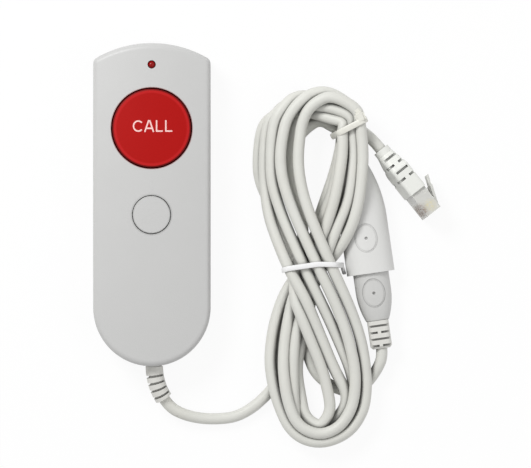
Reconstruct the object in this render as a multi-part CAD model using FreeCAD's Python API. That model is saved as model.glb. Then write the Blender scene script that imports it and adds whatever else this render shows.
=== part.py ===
import FreeCAD, Part
import math
import os
from collections import namedtuple

# Nurse call cord: a handset with two push buttons and a lamp, its coiled lead, a breakaway
# connector in that lead and a modular plug at the end. Millimetres. The handset lies on its
# back: +Z is out of its face, +Y points to its upper end, the origin is under its middle.

# Handset case
HANDSET_LENGTH = 129.0
HANDSET_WIDTH = 46.8
HANDSET_THICKNESS = 20.0
TOP_ARC_RADIUS = 45.0
SHOULDER_RADIUS = 2.8
LEAST_SHOULDER_RADIUS = 1.4
FACE_EDGE_RADIUS = 2.4
BACK_EDGE_RADIUS = 2.4
CROWN_ACROSS_RADIUS = 110.0
CROWN_ALONG_RADIUS = 900.0
PARTING_HEIGHT = 8.5
WALL = 2.0
LIP_HEIGHT = 1.2
LIP_WALL = 0.9
LIP_CLEARANCE = 0.1

# Case screws, driven from the back through the board into the front shell
UPPER_SCREW_INSET = 6.4
UPPER_SCREW_SETBACK = 12.0
LOWER_SCREW_INSET = 7.9
LOWER_SCREW_SETBACK = 36.5
SCREW_SHANK_RADIUS = 1.2
SCREW_HEAD_RADIUS = 2.2
SCREW_HEAD_HEIGHT = 1.6
SCREW_HEAD_DEPTH = 1.2
SCREW_LENGTH = 12.0
SCREW_CLEARANCE = 0.15
SCREW_SLOT_WIDTH = 0.6
SCREW_SLOT_DEPTH = 0.7
BACK_POST_RADIUS = 3.4
FRONT_BOSS_RADIUS = 2.8

# Circuit board and what stands on it
BOARD_BOTTOM = 6.2
BOARD_THICKNESS = 1.6
BOARD_SIDE_GAP = 1.0
BOARD_SETBACK = 22.5
SWITCH_SIDE = 6.2
SWITCH_HEIGHT = 3.5
SWITCH_FLOOR = 0.3
PLUNGER_RADIUS = 1.7
PLUNGER_RISE = 1.5
PLUNGER_LENGTH = 3.0
PLUNGER_CLEARANCE = 0.08
HEADER_WIDTH = 10.0
HEADER_DEPTH = 5.0
HEADER_HEIGHT = 5.0

# Push buttons
CALL_BUTTON_SETBACK = 34.0
CALL_BUTTON_RADIUS = 15.7
CALL_BUTTON_GAP = 0.5
CALL_BUTTON_STAND = 0.3
CALL_BUTTON_EDGE = 0.8
BUTTON_PITCH = 34.5
LOWER_BUTTON_RADIUS = 7.5
LOWER_BUTTON_GAP = 0.3
LOWER_BUTTON_STAND = 0.1
LOWER_BUTTON_EDGE = 0.4
COLLAR_BOTTOM = 15.2
COLLAR_WALL = 1.6
FLANGE_REACH = 1.3
FLANGE_THICKNESS = 1.4
FLANGE_CLEARANCE = 0.1
CAP_WALL = 1.8
CAP_ROOF_RISE = 0.8
STEM_RADIUS = 2.2
SPRING_RADIUS = 8.0
SPRING_WIRE_RADIUS = 0.45
SPRING_TURNS = 4
SPRING_BENDS = 8
SPRING_SEAT_GAP = 0.05

# Indicator lamp
LAMP_SETBACK = 8.6
LAMP_RADIUS = 1.5
LAMP_FLANGE_RADIUS = 1.9
LAMP_FLANGE_HEIGHT = 1.0
LAMP_BODY_HEIGHT = 5.2
LAMP_STAND = 0.3
LAMP_CLEARANCE = 0.15
LAMP_LEAD_RADIUS = 0.25
LAMP_LEAD_PITCH = 2.54

# Cord, its relief at the handset and the clamp that holds it inside
CORD_DIAMETER = 4.6
RELIEF_X = 0.9
RELIEF_RADIUS = 3.5
RELIEF_NECK_RADIUS = 3.0
RELIEF_FLANGE_RADIUS = 4.6
RELIEF_FLANGE_THICKNESS = 1.5
RELIEF_CLEARANCE = 0.1
RELIEF_LENGTH = 13.5
RELIEF_TURN = 35.0
RELIEF_DROOP = 25.0
RELIEF_GROOVES = 4
RELIEF_GROOVE_PITCH = 2.65
RELIEF_GROOVE_WIDTH = 0.85
RELIEF_GROOVE_DEPTH = 0.9
RELIEF_FIRST_GROOVE = 3.4
RELIEF_WEB = 3.6
RELIEF_SIDE_SLOT = 2.2
CLAMP_SETBACK = 11.5
CLAMP_SPAN = 20.0
CLAMP_WIDTH = 5.0
CLAMP_HEIGHT = 3.4
CLAMP_SCREW_X = 8.0
CLAMP_POST_RADIUS = 2.3
CLAMP_SCREW_RADIUS = 1.0
CLAMP_SCREW_LENGTH = 7.0
CLAMP_SEAT = 0.3
SADDLE_WIDTH = 8.0
JACKET_SETBACK = 16.0
CORE_COUNT = 6
CORE_RADIUS = 0.3
CORE_START_PITCH = 0.65
CORE_END_PITCH = 1.4
CORE_LEAD = 2.4

# Breakaway connector, lying beside the coil. Its own +Y runs from the seam to the socket's cable
CONNECTOR_X = 87.6
CONNECTOR_Y = -27.4
CONNECTOR_TURN = 8.2
SOCKET_WIDTH = 19.2
SOCKET_THICKNESS = 12.0
SOCKET_STRAIGHT = 21.6
SOCKET_LENGTH = 44.0
SOCKET_TAPER_RADIUS = 54.0
SOCKET_RIM_RADIUS = 0.8
NOSE_DEPTH = 8.0
NOSE_CLEARANCE = 0.15
PLUG_WIDTH = 14.3
PLUG_THICKNESS = 9.4
PLUG_STRAIGHT = 7.0
PLUG_LENGTH = 19.2
PLUG_TAPER_RADIUS = 30.0
CONNECTOR_WALL = 1.4
INSERT_CLEARANCE = 0.05
PLUG_INSERT_LENGTH = 10.0
SOCKET_INSERT_LENGTH = 12.0
PIN_COUNT = 6
PIN_PITCH = 1.7
PIN_RADIUS = 0.4
PIN_REACH = 6.0
PIN_TAIL = 2.0
SLEEVE_RADIUS = 0.7
SLEEVE_CLEARANCE = 0.08
BADGE_WIDTH = 9.2
BADGE_LENGTH = 11.7
BADGE_LINE = 0.7
BADGE_DEPTH = 0.3
BADGE_DOT_RADIUS = 0.6
BADGE_DOT_DEPTH = 0.8
SOCKET_BADGE_Y = 14.2
PLUG_BADGE_Y = -8.0
CONNECTOR_RELIEF_WIDTH = 8.6
CONNECTOR_RELIEF_THICKNESS = 7.2
CONNECTOR_RELIEF_LENGTH = 11.2
CONNECTOR_RELIEF_CHAMFER = 0.9
CONNECTOR_RELIEF_CORNER = 2.0
SOCKET_RELIEF_LENGTH = 6.0
RELIEF_SLOT_ROWS = 4
RELIEF_SLOT_PITCH = 2.65
RELIEF_SLOT_WIDTH = 0.85
RELIEF_SLOT_DEPTH = 1.0
RELIEF_SLOT_WEB = 1.4
RELIEF_FIRST_SLOT = 1.6

# Modular plug, rolled on its side at the end of the lead
MODULAR_X = 91.6
MODULAR_Y = 22.1
MODULAR_HEADING = 38.5
MODULAR_ROLL = 12.5
MODULAR_WIDTH = 11.68
MODULAR_THICKNESS = 6.6
MODULAR_LENGTH = 21.5
MODULAR_REACH = 32.6
MODULAR_CHANNEL_WIDTH = 9.4
MODULAR_CHANNEL_THICKNESS = 1.2
MODULAR_CHANNEL_FRONT = 3.2
MODULAR_MOUTH_DEPTH = 8.0
MODULAR_MOUTH_THICKNESS = 4.8
MODULAR_WIRE_RADIUS = 0.45
CONTACT_COUNT = 8
CONTACT_PITCH = 1.02
CONTACT_WIDTH = 0.36
CONTACT_LENGTH = 5.4
CONTACT_DEPTH = 1.9
CONTACT_SETBACK = 0.9
CONTACT_INSET = 0.3
CONTACT_CLEARANCE = 0.045
LATCH_WIDTH = 6.2
LATCH_TAIL_WIDTH = 3.2
LATCH_THICKNESS = 1.1
LATCH_LENGTH = 12.0
LATCH_TAIL_LENGTH = 4.0
LATCH_RISE = 4.8
LATCH_ROOT_SETBACK = 1.2
BOOT_COLLAR_RADIUS = 3.35
BOOT_COLLAR_LENGTH = 2.5
BOOT_SHOULDER = 10.5
BOOT_LENGTH = 22.0
BOOT_FRONT_WIDTH = 13.8
BOOT_FRONT_THICKNESS = 7.8
BOOT_FRONT_ROUND = 1.5
BOOT_REAR_ROUND = 3.0
BOOT_CLEARANCE = 0.1
BOOT_SLOT_ROWS = 4
BOOT_SLOT_PITCH = 3.4
BOOT_SLOT_WIDTH = 1.0
BOOT_SLOT_DEPTH = 0.85
BOOT_SLOT_SPAN = 5.6
BOOT_SLOT_WEB = 2.1
BOOT_SLOT_WRAP = 4.2
BOOT_SIDE_DEPTH = 0.35
BOOT_FIRST_SLOT = 4.2

# Coiled part of the lead and the two ties about it
HANK_HEIGHT = 13.0
HANK_BRIDGE_HEIGHT = 18.0
HANK_CLEARANCE = 0.3
TIE_CLEARANCE = 0.15
TIE_THICKNESS = 1.0
TOP_TIE_X = 77.4
TOP_TIE_Y = 31.3
TOP_TIE_HEADING = 24.4
TOP_TIE_SPAN = 15.4
TOP_TIE_WIDTH = 2.6
TOP_TIE_HEAD_WIDTH = 4.6
TOP_TIE_HEAD_LENGTH = 5.4
TOP_TIE_HEAD_HEIGHT = 3.4
MIDDLE_TIE_X = 64.0
MIDDLE_TIE_Y = -25.6
MIDDLE_TIE_HEADING = 7.0
MIDDLE_TIE_SPAN = 22.8
MIDDLE_TIE_WIDTH = 1.6
MIDDLE_TIE_TWIST_RADIUS = 0.9
MIDDLE_TIE_TWIST_LENGTH = 6.0

# Outline of the coiled lead seen from above: a figure of eight, each corner with its radius
HANK_OUTLINE = [
    (49.5, -25.0, 20.0), (42.5, -3.0, 60.0), (37.8, 24.0, 30.0), (48.5, 42.5, 25.0), (66.5, 49.5, 25.0),
    (84.0, 42.5, 20.0), (88.6, 14.0, 60.0), (77.0, -26.0, 20.0), (85.5, -48.0, 60.0), (89.8, -78.0, 30.0),
    (81.0, -95.5, 25.0), (63.0, -100.5, 25.0), (46.5, -91.0, 30.0), (42.0, -66.0, 50.0),
]
UPPER_HOLE = [(60.2, 22.0, 5.0), (66.5, 32.0, 4.0), (73.6, 27.0, 4.0), (65.4, -6.5, 3.0)]
LOWER_HOLE = [
    (58.0, -66.0, 5.0), (62.0, -58.5, 3.0), (69.2, -79.0, 8.0), (66.0, -87.5, 4.0), (59.0, -84.0, 6.0),
]
HANK_BRIDGE = [(73.5, -16.0, 2.0), (72.0, 22.0, 2.0), (86.4, 22.0, 2.0), (84.4, -16.0, 2.0)]

# Route of the lead from the handset's relief to the coil, after the run that leaves the relief
TAIL_EXIT_RUN = 4.7
TAIL_ROUTE = [
    (12.6, -84.1, 4.5), (18.8, -85.6, 3.1), (25.4, -86.0, 2.3), (33.4, -85.2, 2.3),
    (40.2, -81.5, 2.3), (45.6, -76.6, 2.3), (50.0, -72.8, 3.0),
]

# Route from the breakaway plug's relief into the coil, and from the coil to the modular plug
CONNECTOR_TAIL_RUN = 4.6
CONNECTOR_TAIL_ROUTE = [(91.4, -66.7, 5.4), (87.7, -71.2, 4.8), (85.2, -73.0, 4.5)]
MODULAR_TAIL_RUN = 4.6
MODULAR_TAIL_ROUTE = [(80.2, 32.2, 7.0), (84.2, 29.4, 7.1)]

HALF_PITCH = 0.5
RUN_SHARE = 0.45
UPRIGHT_TOLERANCE = 0.01
OVERCUT = 1.0
FULL_TURN = 360.0

Tie = namedtuple("Tie", "x y heading span width")
TOP_TIE = Tie(TOP_TIE_X, TOP_TIE_Y, TOP_TIE_HEADING, TOP_TIE_SPAN, TOP_TIE_WIDTH)
MIDDLE_TIE = Tie(MIDDLE_TIE_X, MIDDLE_TIE_Y, MIDDLE_TIE_HEADING, MIDDLE_TIE_SPAN, MIDDLE_TIE_WIDTH)

V = FreeCAD.Vector
X_AXIS = V(1, 0, 0)
Y_AXIS = V(0, 1, 0)
Z_AXIS = V(0, 0, 1)

HALF_LENGTH = HANDSET_LENGTH / 2
HALF_WIDTH = HANDSET_WIDTH / 2
CALL_BUTTON_Y = HALF_LENGTH - CALL_BUTTON_SETBACK
LOWER_BUTTON_Y = CALL_BUTTON_Y - BUTTON_PITCH
LAMP_Y = HALF_LENGTH - LAMP_SETBACK
BOARD_LOWER_END = BOARD_SETBACK - HALF_LENGTH
CLAMP_Y = CLAMP_SETBACK - HALF_LENGTH
JACKET_END_Y = JACKET_SETBACK - HALF_LENGTH
CORD_RADIUS = CORD_DIAMETER / 2
BOARD_TOP = BOARD_BOTTOM + BOARD_THICKNESS
PLUNGER_TOP = BOARD_TOP + SWITCH_HEIGHT + PLUNGER_RISE
FLANGE_TOP = COLLAR_BOTTOM - FLANGE_CLEARANCE
CAP_BOTTOM = FLANGE_TOP - FLANGE_THICKNESS
CAP_ROOF = COLLAR_BOTTOM + CAP_ROOF_RISE
LOWER_END_CENTRE = HALF_WIDTH - HALF_LENGTH
CONNECTOR_AXIS_HEIGHT = SOCKET_THICKNESS / 2
PLUG_FLATNESS = PLUG_THICKNESS / PLUG_WIDTH
SOCKET_FLATNESS = SOCKET_THICKNESS / SOCKET_WIDTH
UPPER_SCREW = (HALF_WIDTH - UPPER_SCREW_INSET, HALF_LENGTH - UPPER_SCREW_SETBACK)
LOWER_SCREW = (HALF_WIDTH - LOWER_SCREW_INSET, LOWER_SCREW_SETBACK - HALF_LENGTH)
SCREW_PLACES = [(side * x, y) for x, y in (UPPER_SCREW, LOWER_SCREW) for side in (-1, 1)]

Button = namedtuple("Button", "y radius gap stand edge")
CALL_BUTTON = Button(
    CALL_BUTTON_Y, CALL_BUTTON_RADIUS, CALL_BUTTON_GAP, CALL_BUTTON_STAND, CALL_BUTTON_EDGE)
LOWER_BUTTON = Button(
    LOWER_BUTTON_Y, LOWER_BUTTON_RADIUS, LOWER_BUTTON_GAP, LOWER_BUTTON_STAND, LOWER_BUTTON_EDGE)


def box(x_span, y_span, z_span):
    """A block between the given pairs of coordinates."""
    corner = V(x_span[0], y_span[0], z_span[0])
    return Part.makeBox(x_span[1] - x_span[0], y_span[1] - y_span[0], z_span[1] - z_span[0], corner)


def post(x, y, radius, bottom, top):
    """An upright cylinder between two heights."""
    return Part.makeCylinder(radius, top - bottom, V(x, y, bottom))


def rod(start, end, radius):
    """A cylinder between two points."""
    return Part.makeCylinder(radius, (end - start).Length, start, end - start)


def one_solid(shape):
    """The largest solid of a shape that a cut may have wrapped in a compound."""
    return max(shape.Solids, key=lambda solid: solid.Volume)


def placed(shape, origin, x_axis, y_axis, z_axis):
    """A shape drawn in its own axes, moved to where those axes lie on the part."""
    moved = shape.copy()
    moved.Placement = FreeCAD.Placement(origin, FreeCAD.Rotation(x_axis, y_axis, z_axis, "XYZ"))
    return moved


# Paths made of straight runs joined by tangent arcs


def corner_cut(before, corner, after, radius):
    """Where an arc of this radius leaves and meets the two runs at a corner, and its middle."""
    back = (before - corner).normalize()
    ahead = (after - corner).normalize()
    half_opening = back.getAngle(ahead) / 2
    setback = radius / math.tan(half_opening)
    to_centre = (back + ahead).normalize()
    centre = corner + to_centre * (radius / math.sin(half_opening))
    return corner + back * setback, centre - to_centre * radius, corner + ahead * setback


def bend_radius(before, corner, after):
    """Radius whose arc takes a fixed share of the shorter of the two runs at a corner."""
    half_turn = (math.pi - (before - corner).getAngle(after - corner)) / 2
    return RUN_SHARE * min((before - corner).Length, (after - corner).Length) / math.tan(half_turn)


def joined(points, arcs):
    """A wire of straight edges between arcs, each given as its start, middle and end."""
    edges = []
    here = points[0]
    for start, middle, end in arcs:
        edges.append(Part.LineSegment(here, start).toShape())
        edges.append(Part.Arc(start, middle, end).toShape())
        here = end
    edges.append(Part.LineSegment(here, points[-1]).toShape())
    return Part.Wire(edges)


def rounded_outline(corners):
    """A closed flat wire through corners given as x, y and the radius that rounds them."""
    points = [V(x, y, 0) for x, y, radius in corners]
    count = len(points)
    arcs = []
    for index, (x, y, radius) in enumerate(corners):
        before = points[index - 1]
        after = points[(index + 1) % count]
        allowed = min(radius, bend_radius(before, points[index], after))
        arcs.append(corner_cut(before, points[index], after, allowed))
    seam = (arcs[-1][2] + arcs[0][0]) * 0.5
    return joined([seam, seam], arcs)


def bent_rod(points, radius):
    """A round rod along runs whose corners are rounded."""
    arcs = []
    for before, corner, after in zip(points, points[1:], points[2:]):
        arcs.append(corner_cut(before, corner, after, bend_radius(before, corner, after)))
    section = Part.Wire(Part.Circle(points[0], points[1] - points[0], radius).toShape())
    return joined(points, arcs).makePipeShell([section], True, True)


def cord_tube(name, points):
    """The cord along a route, with its radii and its volume printed for checking."""
    radii = []
    arcs = []
    for before, corner, after in zip(points, points[1:], points[2:]):
        radii.append(bend_radius(before, corner, after))
        arcs.append(corner_cut(before, corner, after, radii[-1]))
    path = joined(points, arcs)
    section = Part.Wire(Part.Circle(points[0], points[1] - points[0], CORD_RADIUS).toShape())
    tube = path.makePipeShell([section], True, True)
    expected = math.pi * CORD_RADIUS ** 2 * path.Length
    rounded = [round(radius, 1) for radius in radii]
    print(name, "radii", rounded, "volume ratio", round(tube.Volume / expected, 4))
    return tube


# Handset case


def handset_prism(inset, bottom, top):
    """The handset's outline drawn in by an inset, raised between two heights."""
    half = HALF_WIDTH - inset
    arc = TOP_ARC_RADIUS - inset
    arc_centre = HALF_LENGTH - TOP_ARC_RADIUS
    shoulder = arc_centre + math.sqrt(arc ** 2 - half ** 2)
    left = V(-half, shoulder, bottom)
    right = V(half, shoulder, bottom)
    lower_left = V(-half, LOWER_END_CENTRE, bottom)
    lower_right = V(half, LOWER_END_CENTRE, bottom)
    outline = Part.Wire([
        Part.Arc(left, V(0, arc_centre + arc, bottom), right).toShape(),
        Part.LineSegment(right, lower_right).toShape(),
        Part.Arc(lower_right, V(0, LOWER_END_CENTRE - half, bottom), lower_left).toShape(),
        Part.LineSegment(lower_left, left).toShape(),
    ])
    prism = Part.Face(outline).extrude(V(0, 0, top - bottom))
    shoulder_radius = max(SHOULDER_RADIUS - inset, LEAST_SHOULDER_RADIUS)
    shoulders = [edge for edge in prism.Edges if stands_upright(edge) and edge.CenterOfMass.y > 0]
    return prism.makeFillet(shoulder_radius, shoulders)


def stands_upright(edge):
    return edge.tangentAt(edge.FirstParameter).cross(Z_AXIS).Length < UPRIGHT_TOLERANCE


def crown(inset):
    """A block whose top is the handset's crowned face, lowered by an inset."""
    across = CROWN_ACROSS_RADIUS - inset
    along = CROWN_ALONG_RADIUS - inset
    top = HANDSET_THICKNESS - inset
    reach = HANDSET_WIDTH
    edge = top - across + math.sqrt(across ** 2 - reach ** 2)
    depth = -HANDSET_WIDTH
    corners = [V(-reach, 0, edge), V(-reach, 0, depth), V(reach, 0, depth), V(reach, 0, edge)]
    sides = [Part.LineSegment(start, end).toShape() for start, end in zip(corners, corners[1:])]
    arc = Part.Arc(corners[-1], V(0, 0, top), corners[0]).toShape()
    section = Part.Face(Part.Wire(sides + [arc]))
    centre = V(0, 0, top - along)
    swing = math.degrees(math.asin(HANDSET_LENGTH / along))
    section.rotate(centre, X_AXIS, -swing)
    return section.revolve(centre, X_AXIS, 2 * swing)


def face_height(y):
    """Height of the crowned face on the handset's middle line."""
    return HANDSET_THICKNESS - CROWN_ALONG_RADIUS + math.sqrt(CROWN_ALONG_RADIUS ** 2 - y ** 2)


def hole_along_cord(radius, y_from, y_to):
    """A cylinder on the cord's straight line inside the handset."""
    return rod(V(RELIEF_X, y_from, PARTING_HEIGHT), V(RELIEF_X, y_to, PARTING_HEIGHT), radius)


def neck_hole():
    """The hole for the relief's neck, half in each shell."""
    radius = RELIEF_NECK_RADIUS + RELIEF_CLEARANCE
    return hole_along_cord(radius, -HALF_LENGTH - OVERCUT, relief_flange_outer())


def relief_flange_outer():
    """Where the relief's inner flange clears the curved wall of the handset's lower end."""
    inner = HALF_WIDTH - WALL
    across = RELIEF_FLANGE_RADIUS + abs(RELIEF_X)
    return LOWER_END_CENTRE - math.sqrt(inner ** 2 - across ** 2) + RELIEF_CLEARANCE


def front_shell():
    outside = one_solid(handset_prism(0, PARTING_HEIGHT, HANDSET_THICKNESS + OVERCUT).common(crown(0)))
    face = max(outside.Faces, key=lambda candidate: candidate.CenterOfMass.z)
    outside = outside.makeFillet(FACE_EDGE_RADIUS, face.Edges)
    hollow = handset_prism(WALL, PARTING_HEIGHT - OVERCUT, HANDSET_THICKNESS).common(crown(WALL))
    shell = outside.cut(hollow)
    fixings = [post(x, y, FRONT_BOSS_RADIUS, BOARD_TOP, HANDSET_THICKNESS) for x, y in SCREW_PLACES]
    for button in (CALL_BUTTON, LOWER_BUTTON):
        outer = button.radius + button.gap + COLLAR_WALL
        fixings.append(post(0, button.y, outer, COLLAR_BOTTOM, HANDSET_THICKNESS))
    inner_form = crown(WALL / 2)
    for fixing in fixings:
        shell = shell.fuse(fixing.common(inner_form))
    for button in (CALL_BUTTON, LOWER_BUTTON):
        opening = post(0, button.y, button.radius + button.gap, BOARD_TOP, HANDSET_THICKNESS + OVERCUT)
        shell = shell.cut(opening)
    lamp_hole = post(0, LAMP_Y, LAMP_RADIUS + LAMP_CLEARANCE, BOARD_TOP, HANDSET_THICKNESS + OVERCUT)
    shell = shell.cut(lamp_hole)
    for x, y in SCREW_PLACES:
        shell = shell.cut(post(x, y, SCREW_SHANK_RADIUS, BOARD_TOP - OVERCUT, screw_tip() + OVERCUT))
    rebate_top = PARTING_HEIGHT + LIP_HEIGHT + LIP_CLEARANCE
    rebate = handset_prism(WALL - LIP_WALL - LIP_CLEARANCE, PARTING_HEIGHT - OVERCUT, rebate_top)
    kept = [post(x, y, FRONT_BOSS_RADIUS, BOARD_TOP - OVERCUT, rebate_top + OVERCUT) for x, y in SCREW_PLACES]
    rebate = rebate.cut(kept[0].multiFuse(kept[1:]))
    return one_solid(shell.cut(rebate).cut(neck_hole()).removeSplitter())


def back_shell():
    outside = handset_prism(0, 0, PARTING_HEIGHT)
    back = min(outside.Faces, key=lambda candidate: candidate.CenterOfMass.z)
    outside = outside.makeFillet(BACK_EDGE_RADIUS, back.Edges)
    shell = outside.cut(handset_prism(WALL, WALL, PARTING_HEIGHT + OVERCUT))
    lip = handset_prism(WALL - LIP_WALL, PARTING_HEIGHT, PARTING_HEIGHT + LIP_HEIGHT)
    lip = lip.cut(handset_prism(WALL, PARTING_HEIGHT - OVERCUT, PARTING_HEIGHT + LIP_HEIGHT + OVERCUT))
    shell = shell.fuse(lip)
    for x, y in SCREW_PLACES:
        shell = shell.fuse(post(x, y, BACK_POST_RADIUS, WALL / 2, BOARD_BOTTOM))
    saddle_half = SADDLE_WIDTH / 2
    saddle_x = (RELIEF_X - saddle_half, RELIEF_X + saddle_half)
    saddle_y = (CLAMP_Y - CLAMP_WIDTH / 2, CLAMP_Y + CLAMP_WIDTH / 2)
    shell = shell.fuse(box(saddle_x, saddle_y, (WALL / 2, PARTING_HEIGHT)))
    for x in clamp_screw_places():
        shell = shell.fuse(post(x, CLAMP_Y, CLAMP_POST_RADIUS, WALL / 2, PARTING_HEIGHT + CLAMP_SEAT))
    for x in clamp_screw_places():
        pilot_end = clamp_screw_tip() - OVERCUT
        shell = shell.cut(post(x, CLAMP_Y, CLAMP_SCREW_RADIUS, pilot_end, HANDSET_THICKNESS))
    shell = shell.cut(hole_along_cord(CORD_RADIUS, saddle_y[0] - OVERCUT, saddle_y[1] + OVERCUT))
    head_hole = SCREW_HEAD_RADIUS + SCREW_CLEARANCE
    for x, y in SCREW_PLACES:
        shell = shell.cut(post(x, y, head_hole, -OVERCUT, SCREW_HEAD_DEPTH + SCREW_HEAD_HEIGHT))
        shell = shell.cut(post(x, y, SCREW_SHANK_RADIUS + SCREW_CLEARANCE, -OVERCUT, BOARD_BOTTOM + OVERCUT))
    return one_solid(shell.cut(neck_hole()).removeSplitter())


def screw_tip():
    """Height of the case screws' tips."""
    return SCREW_HEAD_DEPTH + SCREW_HEAD_HEIGHT + SCREW_LENGTH


def slotted_head(x, y, radius, bottom, top, slot_end, slot_bottom):
    """A screw head with a straight slot; the slot opens at slot_end."""
    head = post(x, y, radius, bottom, top)
    heights = sorted((slot_end, slot_bottom))
    slot_half = SCREW_SLOT_WIDTH / 2
    return head.cut(box((x - radius, x + radius), (y - slot_half, y + slot_half), heights))


def case_screws():
    seat = SCREW_HEAD_DEPTH + SCREW_HEAD_HEIGHT
    screws = []
    for x, y in SCREW_PLACES:
        slot_bottom = SCREW_HEAD_DEPTH + SCREW_SLOT_DEPTH
        head = slotted_head(x, y, SCREW_HEAD_RADIUS, SCREW_HEAD_DEPTH, seat, SCREW_HEAD_DEPTH, slot_bottom)
        screws.append(one_solid(head.fuse(post(x, y, SCREW_SHANK_RADIUS, seat, screw_tip()))))
    return Part.makeCompound(screws)


# Circuit board, switches and lamp


def circuit_board():
    board = handset_prism(WALL + BOARD_SIDE_GAP, BOARD_BOTTOM, BOARD_TOP)
    below = box((-HANDSET_WIDTH, HANDSET_WIDTH), (-HANDSET_LENGTH, BOARD_LOWER_END), (0, HANDSET_THICKNESS))
    board = board.cut(below)
    for x, y in SCREW_PLACES:
        board = board.cut(post(x, y, SCREW_SHANK_RADIUS + SCREW_CLEARANCE, 0, HANDSET_THICKNESS))
    return one_solid(board)


def switch_body(button):
    half = SWITCH_SIDE / 2
    body = box((-half, half), (button.y - half, button.y + half), (BOARD_TOP, BOARD_TOP + SWITCH_HEIGHT))
    bore = post(0, button.y, PLUNGER_RADIUS + PLUNGER_CLEARANCE, BOARD_TOP + SWITCH_FLOOR, HANDSET_THICKNESS)
    return body.cut(bore)


def switch_plunger(button):
    return post(0, button.y, PLUNGER_RADIUS, PLUNGER_TOP - PLUNGER_LENGTH, PLUNGER_TOP)


def button_cap(button):
    blank = post(0, button.y, button.radius, CAP_BOTTOM, HANDSET_THICKNESS + OVERCUT)
    body = one_solid(blank.common(crown(-button.stand)))
    face = max(body.Faces, key=lambda candidate: candidate.CenterOfMass.z)
    body = body.makeFillet(button.edge, face.Edges)
    body = body.fuse(post(0, button.y, button.radius + FLANGE_REACH, CAP_BOTTOM, FLANGE_TOP))
    body = body.cut(post(0, button.y, button.radius - CAP_WALL, CAP_BOTTOM - OVERCUT, CAP_ROOF))
    return one_solid(body.fuse(post(0, button.y, STEM_RADIUS, PLUNGER_TOP, CAP_ROOF)).removeSplitter())


def call_button_spring():
    low = BOARD_TOP + SPRING_WIRE_RADIUS + SPRING_SEAT_GAP
    high = CAP_ROOF - SPRING_WIRE_RADIUS - SPRING_SEAT_GAP
    runs = SPRING_TURNS * SPRING_BENDS
    points = []
    for index in range(runs + 1):
        turn = math.radians(index * FULL_TURN / SPRING_BENDS)
        across = V(math.cos(turn), math.sin(turn), 0) * SPRING_RADIUS
        points.append(V(0, CALL_BUTTON_Y, low + (high - low) * index / runs) + across)
    return bent_rod(points, SPRING_WIRE_RADIUS)


def indicator_lamp():
    top = face_height(LAMP_Y) + LAMP_STAND
    base = top - LAMP_BODY_HEIGHT
    dome_centre = top - LAMP_RADIUS
    lens = post(0, LAMP_Y, LAMP_RADIUS, base, dome_centre)
    lens = lens.fuse(Part.makeSphere(LAMP_RADIUS, V(0, LAMP_Y, dome_centre)))
    return one_solid(lens.fuse(post(0, LAMP_Y, LAMP_FLANGE_RADIUS, base, base + LAMP_FLANGE_HEIGHT)))


def lamp_leads():
    base = face_height(LAMP_Y) + LAMP_STAND - LAMP_BODY_HEIGHT
    places = (-LAMP_LEAD_PITCH / 2, LAMP_LEAD_PITCH / 2)
    return Part.makeCompound([post(x, LAMP_Y, LAMP_LEAD_RADIUS, BOARD_TOP, base) for x in places])


def header_front():
    """Y of the header's face that the core wires enter."""
    return BOARD_LOWER_END + OVERCUT


def cable_header():
    half = HEADER_WIDTH / 2
    low = header_front()
    return box((-half, half), (low, low + HEADER_DEPTH), (BOARD_TOP, BOARD_TOP + HEADER_HEIGHT))


def core_wires():
    wires = []
    middle = (CORE_COUNT - 1) / 2
    enter_height = BOARD_TOP + HEADER_HEIGHT / 2
    for index in range(CORE_COUNT):
        start = V(RELIEF_X + (index - middle) * CORE_START_PITCH, JACKET_END_Y, PARTING_HEIGHT)
        end = V((index - middle) * CORE_END_PITCH, header_front(), enter_height)
        points = [start, start + V(0, CORE_LEAD, 0), end - V(0, CORE_LEAD, 0), end]
        wires.append(bent_rod(points, CORE_RADIUS))
    return Part.makeCompound(wires)


# Cord clamp and relief


def clamp_screw_places():
    return [RELIEF_X - CLAMP_SCREW_X, RELIEF_X + CLAMP_SCREW_X]


def clamp_top():
    return PARTING_HEIGHT + CLAMP_SEAT + CLAMP_HEIGHT


def clamp_screw_tip():
    return clamp_top() - CLAMP_SCREW_LENGTH


def cord_clamp():
    x_span = (RELIEF_X - CLAMP_SPAN / 2, RELIEF_X + CLAMP_SPAN / 2)
    y_span = (CLAMP_Y - CLAMP_WIDTH / 2, CLAMP_Y + CLAMP_WIDTH / 2)
    bar = box(x_span, y_span, (PARTING_HEIGHT + CLAMP_SEAT, clamp_top()))
    bar = bar.cut(hole_along_cord(CORD_RADIUS, y_span[0] - OVERCUT, y_span[1] + OVERCUT))
    for x in clamp_screw_places():
        bar = bar.cut(post(x, CLAMP_Y, CLAMP_SCREW_RADIUS + SCREW_CLEARANCE, 0, HANDSET_THICKNESS))
    return one_solid(bar)


def clamp_screws():
    screws = []
    head_top = clamp_top() + SCREW_HEAD_HEIGHT
    for x in clamp_screw_places():
        slot_bottom = head_top - SCREW_SLOT_DEPTH
        head = slotted_head(x, CLAMP_Y, CLAMP_SCREW_RADIUS * 2, clamp_top(), head_top, head_top, slot_bottom)
        shank = post(x, CLAMP_Y, CLAMP_SCREW_RADIUS, clamp_screw_tip(), clamp_top())
        screws.append(one_solid(head.fuse(shank)))
    return Part.makeCompound(screws)


RELIEF_START = V(RELIEF_X, -HALF_LENGTH - RELIEF_CLEARANCE, PARTING_HEIGHT)
RELIEF_AHEAD = V(0, -1, 0)
RELIEF_SIDE = V(math.cos(math.radians(RELIEF_DROOP)), 0, -math.sin(math.radians(RELIEF_DROOP)))
RELIEF_BEND_RADIUS = RELIEF_LENGTH / math.radians(RELIEF_TURN)
RELIEF_BEND_CENTRE = RELIEF_START + RELIEF_SIDE * RELIEF_BEND_RADIUS
RELIEF_BEND_AXIS = RELIEF_AHEAD.cross(RELIEF_SIDE)


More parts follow.
